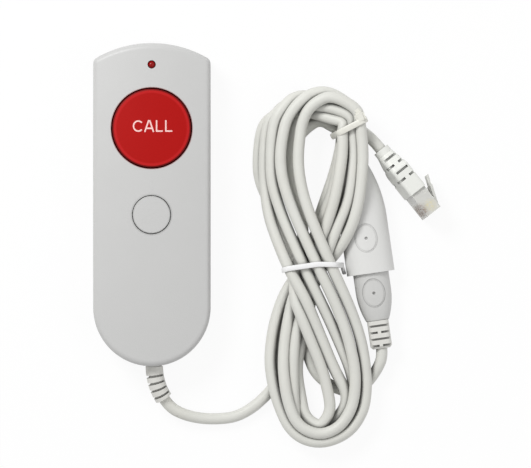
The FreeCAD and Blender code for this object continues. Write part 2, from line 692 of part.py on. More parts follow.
def relief_point(distance):
    """A point on the relief's bent axis, at a distance from where it leaves the case."""
    turn = distance / RELIEF_BEND_RADIUS
    out = RELIEF_SIDE * (-RELIEF_BEND_RADIUS * math.cos(turn))
    return RELIEF_BEND_CENTRE + out + RELIEF_AHEAD * (RELIEF_BEND_RADIUS * math.sin(turn))


def relief_heading(distance):
    """The direction of the relief's bent axis at that distance."""
    turn = distance / RELIEF_BEND_RADIUS
    return RELIEF_AHEAD * math.cos(turn) + RELIEF_SIDE * math.sin(turn)


def bent_sleeve(outer, inner, start, length):
    """A round sleeve about the relief's bent axis; an inner radius of none makes it solid."""
    centre = relief_point(start)
    ahead = relief_heading(start)
    disc = Part.Face(Part.Wire(Part.Circle(centre, ahead, outer).toShape()))
    if inner:
        disc = disc.cut(Part.Face(Part.Wire(Part.Circle(centre, ahead, inner).toShape())))
    return disc.revolve(RELIEF_BEND_CENTRE, RELIEF_BEND_AXIS, math.degrees(length / RELIEF_BEND_RADIUS))


def handset_relief():
    flange_y = relief_flange_outer()
    sleeve = bent_sleeve(RELIEF_RADIUS, CORD_RADIUS, 0, RELIEF_LENGTH)
    neck = hole_along_cord(RELIEF_NECK_RADIUS, RELIEF_START.y, flange_y)
    flange = hole_along_cord(RELIEF_FLANGE_RADIUS, flange_y, flange_y + RELIEF_FLANGE_THICKNESS)
    inner_end = neck.fuse(flange)
    inner_end = inner_end.cut(hole_along_cord(CORD_RADIUS, RELIEF_START.y - OVERCUT, flange_y + HALF_WIDTH))
    relief = sleeve.fuse(inner_end)
    for index in range(RELIEF_GROOVES):
        start = RELIEF_FIRST_GROOVE + index * RELIEF_GROOVE_PITCH
        relief = relief.cut(relief_groove(start).cut(relief_rib(start, RELIEF_WEB)))
    for index in range(RELIEF_GROOVES - 1):
        start = RELIEF_FIRST_GROOVE + (index + HALF_PITCH) * RELIEF_GROOVE_PITCH
        relief = relief.cut(relief_groove(start).common(relief_rib(start, RELIEF_SIDE_SLOT)))
    return one_solid(relief)


def relief_groove(start):
    """A groove all round the relief."""
    bottom = RELIEF_RADIUS - RELIEF_GROOVE_DEPTH
    return bent_sleeve(RELIEF_RADIUS + OVERCUT, bottom, start, RELIEF_GROOVE_WIDTH)


def relief_rib(start, height):
    """The room of the rib along the inner side of the bend, beside one groove."""
    ahead = relief_heading(start)
    side = ahead.cross(RELIEF_BEND_AXIS) * -1
    room = box((0, RELIEF_RADIUS + 2 * OVERCUT), (-OVERCUT, RELIEF_GROOVE_WIDTH + OVERCUT), (-height / 2, height / 2))
    return placed(room, relief_point(start), side, ahead, side.cross(ahead))


def handset_cord_end():
    straight = hole_along_cord(CORD_RADIUS, RELIEF_START.y, JACKET_END_Y)
    return one_solid(straight.fuse(bent_sleeve(CORD_RADIUS, None, 0, RELIEF_LENGTH)).removeSplitter())


def handset_cord_tail():
    start = relief_point(RELIEF_LENGTH)
    exit_corner = start + relief_heading(RELIEF_LENGTH) * TAIL_EXIT_RUN
    return cord_tube("handset_cord_tail", [start, exit_corner] + [V(*point) for point in TAIL_ROUTE])


# Breakaway connector, drawn about its own axis and laid in place


def turned(profile, flatness):
    """A profile of x and y turned about the connector's axis, then flattened to an oval section."""
    solid = Part.Face(profile).revolve(V(0, 0, 0), Y_AXIS, FULL_TURN)
    flatten = FreeCAD.Matrix()
    flatten.scale(1, 1, flatness)
    return solid.transformGeometry(flatten)


def oval_rod(half_width, flatness, y_from, y_to):
    """A straight length of oval section."""
    corners = [V(0, y_from, 0), V(half_width, y_from, 0), V(half_width, y_to, 0), V(0, y_to, 0)]
    return turned(Part.makePolygon(corners + corners[:1]), flatness)


def tapered_profile(half_width, front, straight_end, end, taper_radius):
    """Half of a body that is straight from its front and then narrows on an arc to its end."""
    way = math.copysign(1, end - front)
    run = abs(end - straight_end)
    narrow = half_width - taper_radius + math.sqrt(taper_radius ** 2 - run ** 2)
    middle_run = run / 2
    middle = half_width - taper_radius + math.sqrt(taper_radius ** 2 - middle_run ** 2)
    start = V(half_width, straight_end, 0)
    finish = V(narrow, end, 0)
    return Part.Wire([
        Part.LineSegment(V(0, front, 0), V(half_width, front, 0)).toShape(),
        Part.LineSegment(V(half_width, front, 0), start).toShape(),
        Part.Arc(start, V(middle, straight_end + way * middle_run, 0), finish).toShape(),
        Part.LineSegment(finish, V(0, end, 0)).toShape(),
        Part.LineSegment(V(0, end, 0), V(0, front, 0)).toShape(),
    ])


def on_connector(shape):
    """A connector piece moved from its own axes to its place beside the coil."""
    moved = shape.copy()
    turn = FreeCAD.Rotation(Z_AXIS, CONNECTOR_TURN)
    place = FreeCAD.Placement(V(CONNECTOR_X, CONNECTOR_Y, CONNECTOR_AXIS_HEIGHT), turn)
    moved.Placement = place.multiply(moved.Placement)
    return moved


def connector_point(y):
    """A point of the connector's axis, in the part's own frame."""
    turn = math.radians(CONNECTOR_TURN)
    return V(CONNECTOR_X - y * math.sin(turn), CONNECTOR_Y + y * math.cos(turn), CONNECTOR_AXIS_HEIGHT)


def socket_form(grow):
    profile = tapered_profile(
        SOCKET_WIDTH / 2 + grow, -grow, SOCKET_STRAIGHT, SOCKET_LENGTH + grow, SOCKET_TAPER_RADIUS)
    return turned(profile, (SOCKET_THICKNESS / 2 + grow) / (SOCKET_WIDTH / 2 + grow))


def plug_form(shrink):
    profile = tapered_profile(
        PLUG_WIDTH / 2 - shrink, NOSE_DEPTH, -PLUG_STRAIGHT, shrink - PLUG_LENGTH, PLUG_TAPER_RADIUS)
    return turned(profile, (PLUG_THICKNESS / 2 - shrink) / (PLUG_WIDTH / 2 - shrink))


def engraved_badge(body, sunk_body, y, top):
    """An oval line, sunk evenly into the top of a body, and a small round hole in its middle."""
    height = SOCKET_THICKNESS
    oval = Part.Ellipse(V(0, y + BADGE_LENGTH / 2, 0), V(BADGE_WIDTH / 2, y, 0), V(0, y, 0))
    inner_end = V(0, y + BADGE_LENGTH / 2 - BADGE_LINE, 0)
    inner_oval = Part.Ellipse(inner_end, V(BADGE_WIDTH / 2 - BADGE_LINE, y, 0), V(0, y, 0))
    ring = Part.Face(Part.Wire(oval.toShape())).cut(Part.Face(Part.Wire(inner_oval.toShape())))
    line = ring.extrude(V(0, 0, height)).cut(sunk_body)
    dot = post(0, y, BADGE_DOT_RADIUS, top - BADGE_DOT_DEPTH, height)
    return one_solid(body.cut(line).cut(dot))


def breakaway_socket_shell():
    body = socket_form(0)
    sunk = turned(
        tapered_profile(SOCKET_WIDTH / 2, 0, SOCKET_STRAIGHT, SOCKET_LENGTH, SOCKET_TAPER_RADIUS),
        (SOCKET_THICKNESS - 2 * BADGE_DEPTH) / SOCKET_WIDTH)
    body = engraved_badge(body, sunk, SOCKET_BADGE_Y, SOCKET_THICKNESS / 2)
    mouth_half = PLUG_WIDTH / 2 + NOSE_CLEARANCE
    mouth_flatness = (PLUG_THICKNESS / 2 + NOSE_CLEARANCE) / mouth_half
    cavity_end = NOSE_DEPTH + NOSE_CLEARANCE + SOCKET_INSERT_LENGTH
    body = body.cut(oval_rod(mouth_half, mouth_flatness, -OVERCUT, cavity_end))
    body = body.cut(rod(V(0, 0, 0), V(0, SOCKET_LENGTH + OVERCUT, 0), CORD_RADIUS))
    return on_connector(one_solid(body))


def pin_places():
    middle = (PIN_COUNT - 1) / 2
    return [(index - middle) * PIN_PITCH for index in range(PIN_COUNT)]


def contact_rods(radius, y_from, y_to):
    """A row of round rods across the connector."""
    return [rod(V(x, y_from, 0), V(x, y_to, 0), radius) for x in pin_places()]


def breakaway_socket_insert():
    half = PLUG_WIDTH / 2 + NOSE_CLEARANCE - INSERT_CLEARANCE
    front = NOSE_DEPTH + NOSE_CLEARANCE
    insert = oval_rod(half, PLUG_FLATNESS, front, front + SOCKET_INSERT_LENGTH)
    for hole in contact_rods(SLEEVE_RADIUS, front - OVERCUT, front + SOCKET_INSERT_LENGTH + OVERCUT):
        insert = insert.cut(hole)
    return on_connector(one_solid(insert))


def breakaway_contacts():
    front = NOSE_DEPTH + NOSE_CLEARANCE
    outers = contact_rods(SLEEVE_RADIUS, front, front + SOCKET_INSERT_LENGTH)
    inners = contact_rods(PIN_RADIUS + SLEEVE_CLEARANCE, front - OVERCUT, front + PIN_REACH + OVERCUT)
    return Part.makeCompound([on_connector(outer.cut(inner)) for outer, inner in zip(outers, inners)])


def plug_chamber(length):
    """The room inside the breakaway plug, open at its nose."""
    half = PLUG_WIDTH / 2 - CONNECTOR_WALL
    flatness = (PLUG_THICKNESS / 2 - CONNECTOR_WALL) / half
    return oval_rod(half, flatness, NOSE_DEPTH - length, NOSE_DEPTH + OVERCUT)


def breakaway_plug_shell():
    body = plug_form(0)
    sunk = turned(
        tapered_profile(PLUG_WIDTH / 2, NOSE_DEPTH, -PLUG_STRAIGHT, -PLUG_LENGTH, PLUG_TAPER_RADIUS),
        (PLUG_THICKNESS - 2 * BADGE_DEPTH) / PLUG_WIDTH)
    body = engraved_badge(body, sunk, PLUG_BADGE_Y, PLUG_THICKNESS / 2)
    body = body.cut(plug_chamber(PLUG_INSERT_LENGTH))
    body = body.cut(rod(V(0, 0, 0), V(0, -PLUG_LENGTH - OVERCUT, 0), CORD_RADIUS))
    return on_connector(one_solid(body))


def breakaway_plug_insert():
    half = PLUG_WIDTH / 2 - CONNECTOR_WALL - INSERT_CLEARANCE
    flatness = (PLUG_THICKNESS / 2 - CONNECTOR_WALL - INSERT_CLEARANCE) / half
    insert = oval_rod(half, flatness, NOSE_DEPTH - PLUG_INSERT_LENGTH, NOSE_DEPTH)
    for hole in contact_rods(PIN_RADIUS, -PLUG_LENGTH, NOSE_DEPTH + OVERCUT):
        insert = insert.cut(hole)
    return on_connector(one_solid(insert))


def breakaway_pins():
    tail = NOSE_DEPTH - PLUG_INSERT_LENGTH
    tip = NOSE_DEPTH + NOSE_CLEARANCE + PIN_REACH
    return Part.makeCompound([on_connector(pin) for pin in contact_rods(PIN_RADIUS, tail, tip)])


def slot_cuts(rows, first, pitch, width, web, half_span, floor, ceiling):
    """Cross slots along +Y, above and below the axis; every second row keeps a middle web."""
    cuts = []
    for row in range(rows):
        y_span = (first + row * pitch, first + row * pitch + width)
        if row % 2:
            x_spans = [(-half_span, -web / 2), (web / 2, half_span)]
        else:
            x_spans = [(-half_span, half_span)]
        for x_span in x_spans:
            cuts.append(box(x_span, y_span, (floor, ceiling)))
            cuts.append(box(x_span, y_span, (-ceiling, -floor)))
    return cuts


def breakaway_plug_relief():
    half = CONNECTOR_RELIEF_WIDTH / 2
    high = CONNECTOR_RELIEF_THICKNESS / 2
    block = box((-half, half), (0, CONNECTOR_RELIEF_LENGTH), (-high, high))
    lengthways = [edge for edge in block.Edges if edge.tangentAt(edge.FirstParameter).cross(Y_AXIS).Length < 0.5]
    relief = block.makeFillet(CONNECTOR_RELIEF_CORNER, lengthways)
    end_edges = [edge for edge in relief.Edges if edge.BoundBox.YMin > CONNECTOR_RELIEF_LENGTH - OVERCUT]
    relief = relief.makeChamfer(CONNECTOR_RELIEF_CHAMFER, end_edges)
    floor = CONNECTOR_RELIEF_THICKNESS / 2 - RELIEF_SLOT_DEPTH
    cuts = slot_cuts(
        RELIEF_SLOT_ROWS, RELIEF_FIRST_SLOT, RELIEF_SLOT_PITCH, RELIEF_SLOT_WIDTH, RELIEF_SLOT_WEB,
        half + OVERCUT, floor, CONNECTOR_RELIEF_THICKNESS)
    for cut in cuts:
        relief = relief.cut(cut)
    relief = relief.cut(rod(V(0, -OVERCUT, 0), V(0, CONNECTOR_RELIEF_LENGTH + OVERCUT, 0), CORD_RADIUS))
    relief = one_solid(relief)
    relief.rotate(V(0, 0, 0), Z_AXIS, FULL_TURN / 2)
    relief.translate(V(0, -PLUG_LENGTH, 0))
    return on_connector(relief)


def breakaway_socket_relief():
    relief = rod(V(0, SOCKET_LENGTH, 0), V(0, SOCKET_LENGTH + SOCKET_RELIEF_LENGTH, 0), socket_end_radius())
    bore = rod(V(0, 0, 0), V(0, SOCKET_LENGTH + SOCKET_RELIEF_LENGTH + OVERCUT, 0), CORD_RADIUS)
    return on_connector(relief.cut(bore))


def socket_end_radius():
    """Radius that fits within the oval end of the socket's taper."""
    run = SOCKET_LENGTH - SOCKET_STRAIGHT
    narrow = SOCKET_WIDTH / 2 - SOCKET_TAPER_RADIUS + math.sqrt(SOCKET_TAPER_RADIUS ** 2 - run ** 2)
    return narrow * SOCKET_FLATNESS


def breakaway_socket_cord_end():
    start = NOSE_DEPTH + NOSE_CLEARANCE + SOCKET_INSERT_LENGTH + OVERCUT
    end = SOCKET_LENGTH + SOCKET_RELIEF_LENGTH
    return on_connector(rod(V(0, start, 0), V(0, end, 0), CORD_RADIUS))


def breakaway_plug_cord_end():
    start = NOSE_DEPTH - PLUG_INSERT_LENGTH - OVERCUT
    end = -PLUG_LENGTH - CONNECTOR_RELIEF_LENGTH
    return on_connector(rod(V(0, start, 0), V(0, end, 0), CORD_RADIUS))


def connector_cord_tail():
    relief_end = -PLUG_LENGTH - CONNECTOR_RELIEF_LENGTH
    points = [connector_point(relief_end), connector_point(relief_end - CONNECTOR_TAIL_RUN)]
    return cord_tube("connector_cord_tail", points + [V(*point) for point in CONNECTOR_TAIL_ROUTE])


# Modular plug, drawn with +Y ahead to its contacts' end, +X across it and +Z to its latch


def on_modular(shape):
    """A piece of the modular plug moved from its own axes to its place."""
    roll = math.radians(MODULAR_ROLL)
    ahead = modular_heading()
    level = Z_AXIS.cross(ahead)
    latch_side = level * math.cos(roll) - Z_AXIS * math.sin(roll)
    across = ahead.cross(latch_side)
    return placed(shape, V(MODULAR_X, MODULAR_Y, modular_height()), across, ahead, latch_side)


def modular_heading():
    """The level direction from the boot to the contacts' end."""
    heading = math.radians(MODULAR_HEADING)
    return V(math.sin(heading), -math.cos(heading), 0)


def modular_height():
    """Height of the modular plug's axis when the boot's rounded front edge lies on the table."""
    roll = math.radians(MODULAR_ROLL)
    side = BOOT_FRONT_WIDTH / 2 - BOOT_FRONT_ROUND
    depth = BOOT_FRONT_THICKNESS / 2 - BOOT_FRONT_ROUND
    return side * math.cos(roll) + depth * math.sin(roll) + BOOT_FRONT_ROUND


def contact_places():
    middle = (CONTACT_COUNT - 1) / 2
    return [(index - middle) * CONTACT_PITCH for index in range(CONTACT_COUNT)]


def blade_box(x, grow):
    """The room of one contact blade, in the face away from the latch."""
    half = CONTACT_WIDTH / 2 + grow
    front = MODULAR_REACH - CONTACT_SETBACK
    face = -MODULAR_THICKNESS / 2
    bottom = face + CONTACT_INSET + CONTACT_DEPTH
    outer = face - OVERCUT if grow else face + CONTACT_INSET
    return box((x - half, x + half), (front - CONTACT_LENGTH - grow, front + grow), (outer, bottom + grow))


def latch():
    """The plug's sprung tongue: rooted near its front, free towards its cable."""
    root_y = MODULAR_REACH - LATCH_ROOT_SETBACK
    base = MODULAR_THICKNESS / 2
    top = base + LATCH_RISE

    def plate(width, y_from, y_to):
        share = (root_y - y_from) / LATCH_LENGTH
        end_share = (root_y - y_to) / LATCH_LENGTH
        low = base + (top - base) * share
        high = base + (top - base) * end_share
        half = width / 2
        corners = [
            V(-half, y_from, low - LATCH_THICKNESS / 2), V(-half, y_to, high - LATCH_THICKNESS / 2),
            V(-half, y_to, high + LATCH_THICKNESS / 2), V(-half, y_from, low + LATCH_THICKNESS / 2),
        ]
        return Part.Face(Part.makePolygon(corners + corners[:1])).extrude(V(width, 0, 0))

    step_y = root_y - LATCH_LENGTH + LATCH_TAIL_LENGTH
    root_x = (-LATCH_WIDTH / 2, LATCH_WIDTH / 2)
    root = box(root_x, (root_y - OVERCUT, root_y + OVERCUT), (0, base + LATCH_THICKNESS / 2))
    return [root, plate(LATCH_WIDTH, root_y, step_y), plate(LATCH_TAIL_WIDTH, step_y, root_y - LATCH_LENGTH)]


def modular_plug_body():
    rear = MODULAR_REACH - MODULAR_LENGTH
    half = MODULAR_WIDTH / 2
    half_thickness = MODULAR_THICKNESS / 2
    body = box((-half, half), (rear, MODULAR_REACH), (-half_thickness, half_thickness))
    for piece in latch():
        body = body.fuse(piece)
    mouth_half = MODULAR_MOUTH_THICKNESS / 2
    channel_half = MODULAR_CHANNEL_WIDTH / 2
    channel_x = (-channel_half, channel_half)
    mouth = box(channel_x, (rear - OVERCUT, rear + MODULAR_MOUTH_DEPTH), (-mouth_half, mouth_half))
    channel_z = MODULAR_CHANNEL_THICKNESS / 2
    channel_end = MODULAR_REACH - MODULAR_CHANNEL_FRONT
    channel = box(channel_x, (rear, channel_end), (-channel_z, channel_z))
    body = body.cut(mouth).cut(channel)
    for x in contact_places():
        body = body.cut(blade_box(x, CONTACT_CLEARANCE))
    return on_modular(one_solid(body.removeSplitter()))


def modular_plug_contacts():
    return Part.makeCompound([on_modular(blade_box(x, 0)) for x in contact_places()])


def modular_plug_wires():
    start = MODULAR_REACH - MODULAR_LENGTH + MODULAR_MOUTH_DEPTH - OVERCUT
    end = MODULAR_REACH - MODULAR_CHANNEL_FRONT - RELIEF_CLEARANCE
    wires = [rod(V(x, start, 0), V(x, end, 0), MODULAR_WIRE_RADIUS) for x in contact_places()]
    return Part.makeCompound([on_modular(wire) for wire in wires])


def rounded_section(width, thickness, radius, y):
    """An upright rounded rectangle across the plug's axis."""
    half = width / 2
    half_thickness = thickness / 2
    corners = [V(-half, y, -half_thickness), V(half, y, -half_thickness), V(half, y, half_thickness)]
    corners.append(V(-half, y, half_thickness))
    arcs = []
    for index, corner in enumerate(corners):
        arcs.append(corner_cut(corners[index - 1], corner, corners[(index + 1) % len(corners)], radius))
    seam = (arcs[-1][2] + arcs[0][0]) * 0.5
    return joined([seam, seam], arcs)


def modular_plug_boot():
    collar = rod(V(0, 0, 0), V(0, BOOT_COLLAR_LENGTH, 0), BOOT_COLLAR_RADIUS)
    collar_width = 2 * BOOT_COLLAR_RADIUS
    narrow = rounded_section(collar_width, collar_width, BOOT_REAR_ROUND, BOOT_COLLAR_LENGTH)
    wide = rounded_section(BOOT_FRONT_WIDTH, BOOT_FRONT_THICKNESS, BOOT_FRONT_ROUND, BOOT_SHOULDER)
    straight = Part.Face(wide).extrude(V(0, BOOT_LENGTH - BOOT_SHOULDER, 0))
    boot = Part.makeLoft([narrow, wide], True, True).fuse(straight).fuse(collar)
    rear = MODULAR_REACH - MODULAR_LENGTH
    half = MODULAR_WIDTH / 2 + BOOT_CLEARANCE
    half_thickness = MODULAR_THICKNESS / 2 + BOOT_CLEARANCE
    room_y = (rear - BOOT_CLEARANCE, BOOT_LENGTH + OVERCUT)
    boot = boot.cut(box((-half, half), room_y, (-half_thickness, half_thickness)))
    boot = boot.cut(rod(V(0, -OVERCUT, 0), V(0, BOOT_LENGTH, 0), CORD_RADIUS))
    for cut in boot_slots():
        boot = boot.cut(cut)
    return on_modular(one_solid(boot))


def boot_half(y, front_half):
    """Half of the boot's width or thickness at a place along it."""
    share = min((y - BOOT_COLLAR_LENGTH) / (BOOT_SHOULDER - BOOT_COLLAR_LENGTH), 1)
    return BOOT_COLLAR_RADIUS + (front_half - BOOT_COLLAR_RADIUS) * share


def boot_slots():
    """Cross slots in the boot's two narrow sides; every second row turns round the corners instead."""
    cuts = []
    beyond = BOOT_FRONT_WIDTH
    for row in range(BOOT_SLOT_ROWS):
        y = BOOT_FIRST_SLOT + row * BOOT_SLOT_PITCH
        y_span = (y, y + BOOT_SLOT_WIDTH)
        half = boot_half(y, BOOT_FRONT_WIDTH / 2)
        side = boot_half(y, BOOT_FRONT_THICKNESS / 2) - BOOT_SIDE_DEPTH
        if row % 2:
            z_spans = [(-beyond, -BOOT_SLOT_WEB / 2), (BOOT_SLOT_WEB / 2, beyond)]
            for z_span in [(-beyond, -side), (side, beyond)]:
                cuts.append(box((half - BOOT_SLOT_WRAP, half + OVERCUT), y_span, z_span))
                cuts.append(box((-half - OVERCUT, BOOT_SLOT_WRAP - half), y_span, z_span))
        else:
            z_spans = [(-BOOT_SLOT_SPAN / 2, BOOT_SLOT_SPAN / 2)]
        for z_span in z_spans:
            cuts.append(box((half - BOOT_SLOT_DEPTH, half + beyond), y_span, z_span))
            cuts.append(box((-half - beyond, BOOT_SLOT_DEPTH - half), y_span, z_span))
    return cuts


def modular_cord_end():
    end = MODULAR_REACH - MODULAR_LENGTH + MODULAR_MOUTH_DEPTH - OVERCUT
    return on_modular(rod(V(0, 0, 0), V(0, end, 0), CORD_RADIUS))


def modular_cord_tail():
    end = V(MODULAR_X, MODULAR_Y, modular_height())
    corner = end - modular_heading() * MODULAR_TAIL_RUN
    return cord_tube("modular_cord_tail", [V(*point) for point in MODULAR_TAIL_ROUTE] + [corner, end])


# Coiled part of the lead and its ties


def on_tie(tie, shape):
    """A tie's piece moved from its own axes, with +X along the tie's line, to its place."""
    moved = shape.copy()
    moved.Placement = FreeCAD.Placement(V(tie.x, tie.y, 0), FreeCAD.Rotation(Z_AXIS, tie.heading))
    return moved


def tie_hoop(tie, grow):
    """An upright hoop about the coil; growing it makes the room that the coil leaves for it."""
    half = tie.span / 2 + TIE_THICKNESS
    width = tie.width / 2 + grow
    top = HANK_HEIGHT + TIE_CLEARANCE + TIE_THICKNESS
    outer = box((-half - grow, half + grow), (-width, width), (-grow, top + grow))
    inner_half = tie.span / 2 - grow
    inner_z = (TIE_THICKNESS + grow, top - TIE_THICKNESS - grow)
    inner = box((-inner_half, inner_half), (-width, width), inner_z)
    return outer.cut(inner)


def top_tie():
    hoop = tie_hoop(TOP_TIE, 0)
    low = HANK_HEIGHT + TIE_CLEARANCE
    end = TOP_TIE_SPAN / 2
    half = TOP_TIE_HEAD_WIDTH / 2
    head = box((end - TOP_TIE_HEAD_LENGTH, end), (-half, half), (low, low + TOP_TIE_HEAD_HEIGHT))
    return on_tie(TOP_TIE, one_solid(hoop.fuse(head).removeSplitter()))


def middle_tie():
    hoop = tie_hoop(MIDDLE_TIE, 0)
    height = HANK_HEIGHT + TIE_CLEARANCE + MIDDLE_TIE_TWIST_RADIUS
    start = V(MIDDLE_TIE_SPAN / 2 - MIDDLE_TIE_TWIST_LENGTH / 2, 0, height)
    twist = rod(start, start + V(0, -MIDDLE_TIE_TWIST_LENGTH, 0), MIDDLE_TIE_TWIST_RADIUS)
    return on_tie(MIDDLE_TIE, one_solid(hoop.fuse(twist)))


def raised(corners, height):
    return Part.Face(rounded_outline(corners)).extrude(V(0, 0, height))


def cord_hank():
    hank = raised(HANK_OUTLINE, HANK_HEIGHT)
    hank = hank.cut(raised(UPPER_HOLE, HANK_HEIGHT)).cut(raised(LOWER_HOLE, HANK_HEIGHT))
    hank = hank.fuse(raised(HANK_BRIDGE, HANK_BRIDGE_HEIGHT))
    hank = hank.cut(on_connector(socket_form(HANK_CLEARANCE)))
    relief_end = V(0, SOCKET_LENGTH + SOCKET_RELIEF_LENGTH, 0)
    cable_room = rod(V(0, 0, 0), relief_end, socket_end_radius() + HANK_CLEARANCE)
    hank = hank.cut(on_connector(cable_room))
    for tie in (TOP_TIE, MIDDLE_TIE):
        hank = hank.cut(on_tie(tie, tie_hoop(tie, TIE_CLEARANCE)))
    return one_solid(hank)


def build():
    """Every node of the part by name."""
    return {
        "front_shell": front_shell(),
        "back_shell": back_shell(),
        "case_screws": case_screws(),
        "circuit_board": circuit_board(),
        "call_button_cap": button_cap(CALL_BUTTON),
        "call_button_spring": call_button_spring(),
        "call_switch_body": switch_body(CALL_BUTTON),
        "call_switch_plunger": switch_plunger(CALL_BUTTON),
        "lower_button_cap": button_cap(LOWER_BUTTON),
        "lower_switch_body": switch_body(LOWER_BUTTON),
        "lower_switch_plunger": switch_plunger(LOWER_BUTTON),
        "indicator_lamp": indicator_lamp(),
        "lamp_leads": lamp_leads(),
        "cable_header": cable_header(),
        "core_wires": core_wires(),
        "cord_clamp": cord_clamp(),
        "clamp_screws": clamp_screws(),
        "handset_relief": handset_relief(),
        "handset_cord_end": handset_cord_end(),
        "handset_cord_tail": handset_cord_tail(),
        "cord_hank": cord_hank(),
        "top_tie": top_tie(),
        "middle_tie": middle_tie(),
        "breakaway_socket_shell": breakaway_socket_shell(),
        "breakaway_socket_insert": breakaway_socket_insert(),
        "breakaway_contacts": breakaway_contacts(),
        "breakaway_socket_relief": breakaway_socket_relief(),
        "breakaway_socket_cord_end": breakaway_socket_cord_end(),
        "breakaway_plug_shell": breakaway_plug_shell(),
        "breakaway_plug_insert": breakaway_plug_insert(),
        "breakaway_pins": breakaway_pins(),
        "breakaway_plug_relief": breakaway_plug_relief(),
        "breakaway_plug_cord_end": breakaway_plug_cord_end(),
        "connector_cord_tail": connector_cord_tail(),
        "modular_cord_tail": modular_cord_tail(),
        "modular_plug_boot": modular_plug_boot(),
        "modular_cord_end": modular_cord_end(),
        "modular_plug_body": modular_plug_body(),
        "modular_plug_contacts": modular_plug_contacts(),
        "modular_plug_wires": modular_plug_wires(),
    }


def main():
    os.makedirs("parts", exist_ok=True)
    for name, shape in build().items():
        shape.exportStep(os.path.join("parts", name + ".step"))
        print(name, "solids", len(shape.Solids), "volume", round(shape.Volume, 1), "valid", shape.isValid())


main()
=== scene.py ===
import math

import bmesh
import bpy
import numpy as np
from mathutils import Matrix, Vector


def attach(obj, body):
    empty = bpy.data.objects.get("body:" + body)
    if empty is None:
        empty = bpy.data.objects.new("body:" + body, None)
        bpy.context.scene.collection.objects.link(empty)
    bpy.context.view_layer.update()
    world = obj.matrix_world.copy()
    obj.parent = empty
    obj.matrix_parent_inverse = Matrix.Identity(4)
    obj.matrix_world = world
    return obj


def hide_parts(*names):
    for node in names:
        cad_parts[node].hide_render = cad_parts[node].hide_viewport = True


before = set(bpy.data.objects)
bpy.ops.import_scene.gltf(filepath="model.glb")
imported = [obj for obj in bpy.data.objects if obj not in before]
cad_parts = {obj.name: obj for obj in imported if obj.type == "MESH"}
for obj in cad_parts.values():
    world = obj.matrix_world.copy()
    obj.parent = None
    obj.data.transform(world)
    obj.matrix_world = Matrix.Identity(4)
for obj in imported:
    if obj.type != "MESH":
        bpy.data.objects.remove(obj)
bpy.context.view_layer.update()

bl_info = {
    "name": "Nurse call cord",
    "version": (1, 0, 0),
    "blender": (4, 5, 0),
    "location": "View3D > Sidebar > Call Cord",
    "description": "Leads, ties, lettering and finishes of a nurse call handset",
    "category": "Object",
}

MM = 0.001

# Breakaway socket, which the coil's right leg lies on: place, turn and oval section, in millimetres
SOCKET_PLACE = (87.6, -27.4)
SOCKET_TURN = math.radians(8.2)
SOCKET_HALF_WIDTH = 9.6
SOCKET_HALF_HEIGHT = 6.0
SOCKET_STRAIGHT = 21.6
SOCKET_LENGTH = 50.0
SOCKET_TAPER = 54.0

# Route of the handset's lead to the coil, from the end of its relief, in millimetres
HANDSET_ROUTE = [
    (4.52, -77.28, 6.81), (6.97, -81.13, 5.67), (12.6, -84.1, 4.5), (18.8, -85.6, 3.1), (25.4, -86.0, 2.3),
    (33.4, -85.2, 2.3), (40.2, -81.5, 2.3), (45.6, -76.6, 2.3), (49.6, -72.0, 2.3),
]
# ... from its last turn to the breakaway plug's relief
PLUG_ROUTE = [
    (62.4, -60.5, 2.3), (65.0, -67.0, 2.3), (70.0, -71.8, 2.3), (77.0, -75.0, 2.3), (83.0, -74.0, 2.3),
    (87.2, -70.3, 3.4), (90.3, -65.6, 5.2), (92.2, -61.2, 6.0), (91.94, -57.49, 6.0),
]
# Route of the wall lead from the breakaway socket's relief into the coil
SOCKET_ROUTE = [(80.47, 22.09, 6.0), (79.9, 26.2, 5.6), (78.6, 30.8, 4.4)]
# ... and from the coil, through a small curl under it, to the modular plug's boot
WALL_ROUTE = [
    (72.8, 31.2, 2.3), (67.2, 34.6, 2.3), (61.6, 31.0, 2.3), (56.8, 25.6, 2.3), (50.6, 26.0, 2.3),
    (47.2, 31.2, 2.3), (49.6, 37.6, 2.3), (56.4, 40.4, 2.3), (64.0, 39.2, 2.3), (72.0, 36.0, 3.6),
    (80.2, 32.2, 7.0), (84.2, 29.4, 7.1), (88.74, 25.70, 7.29), (91.6, 22.1, 7.29),
]

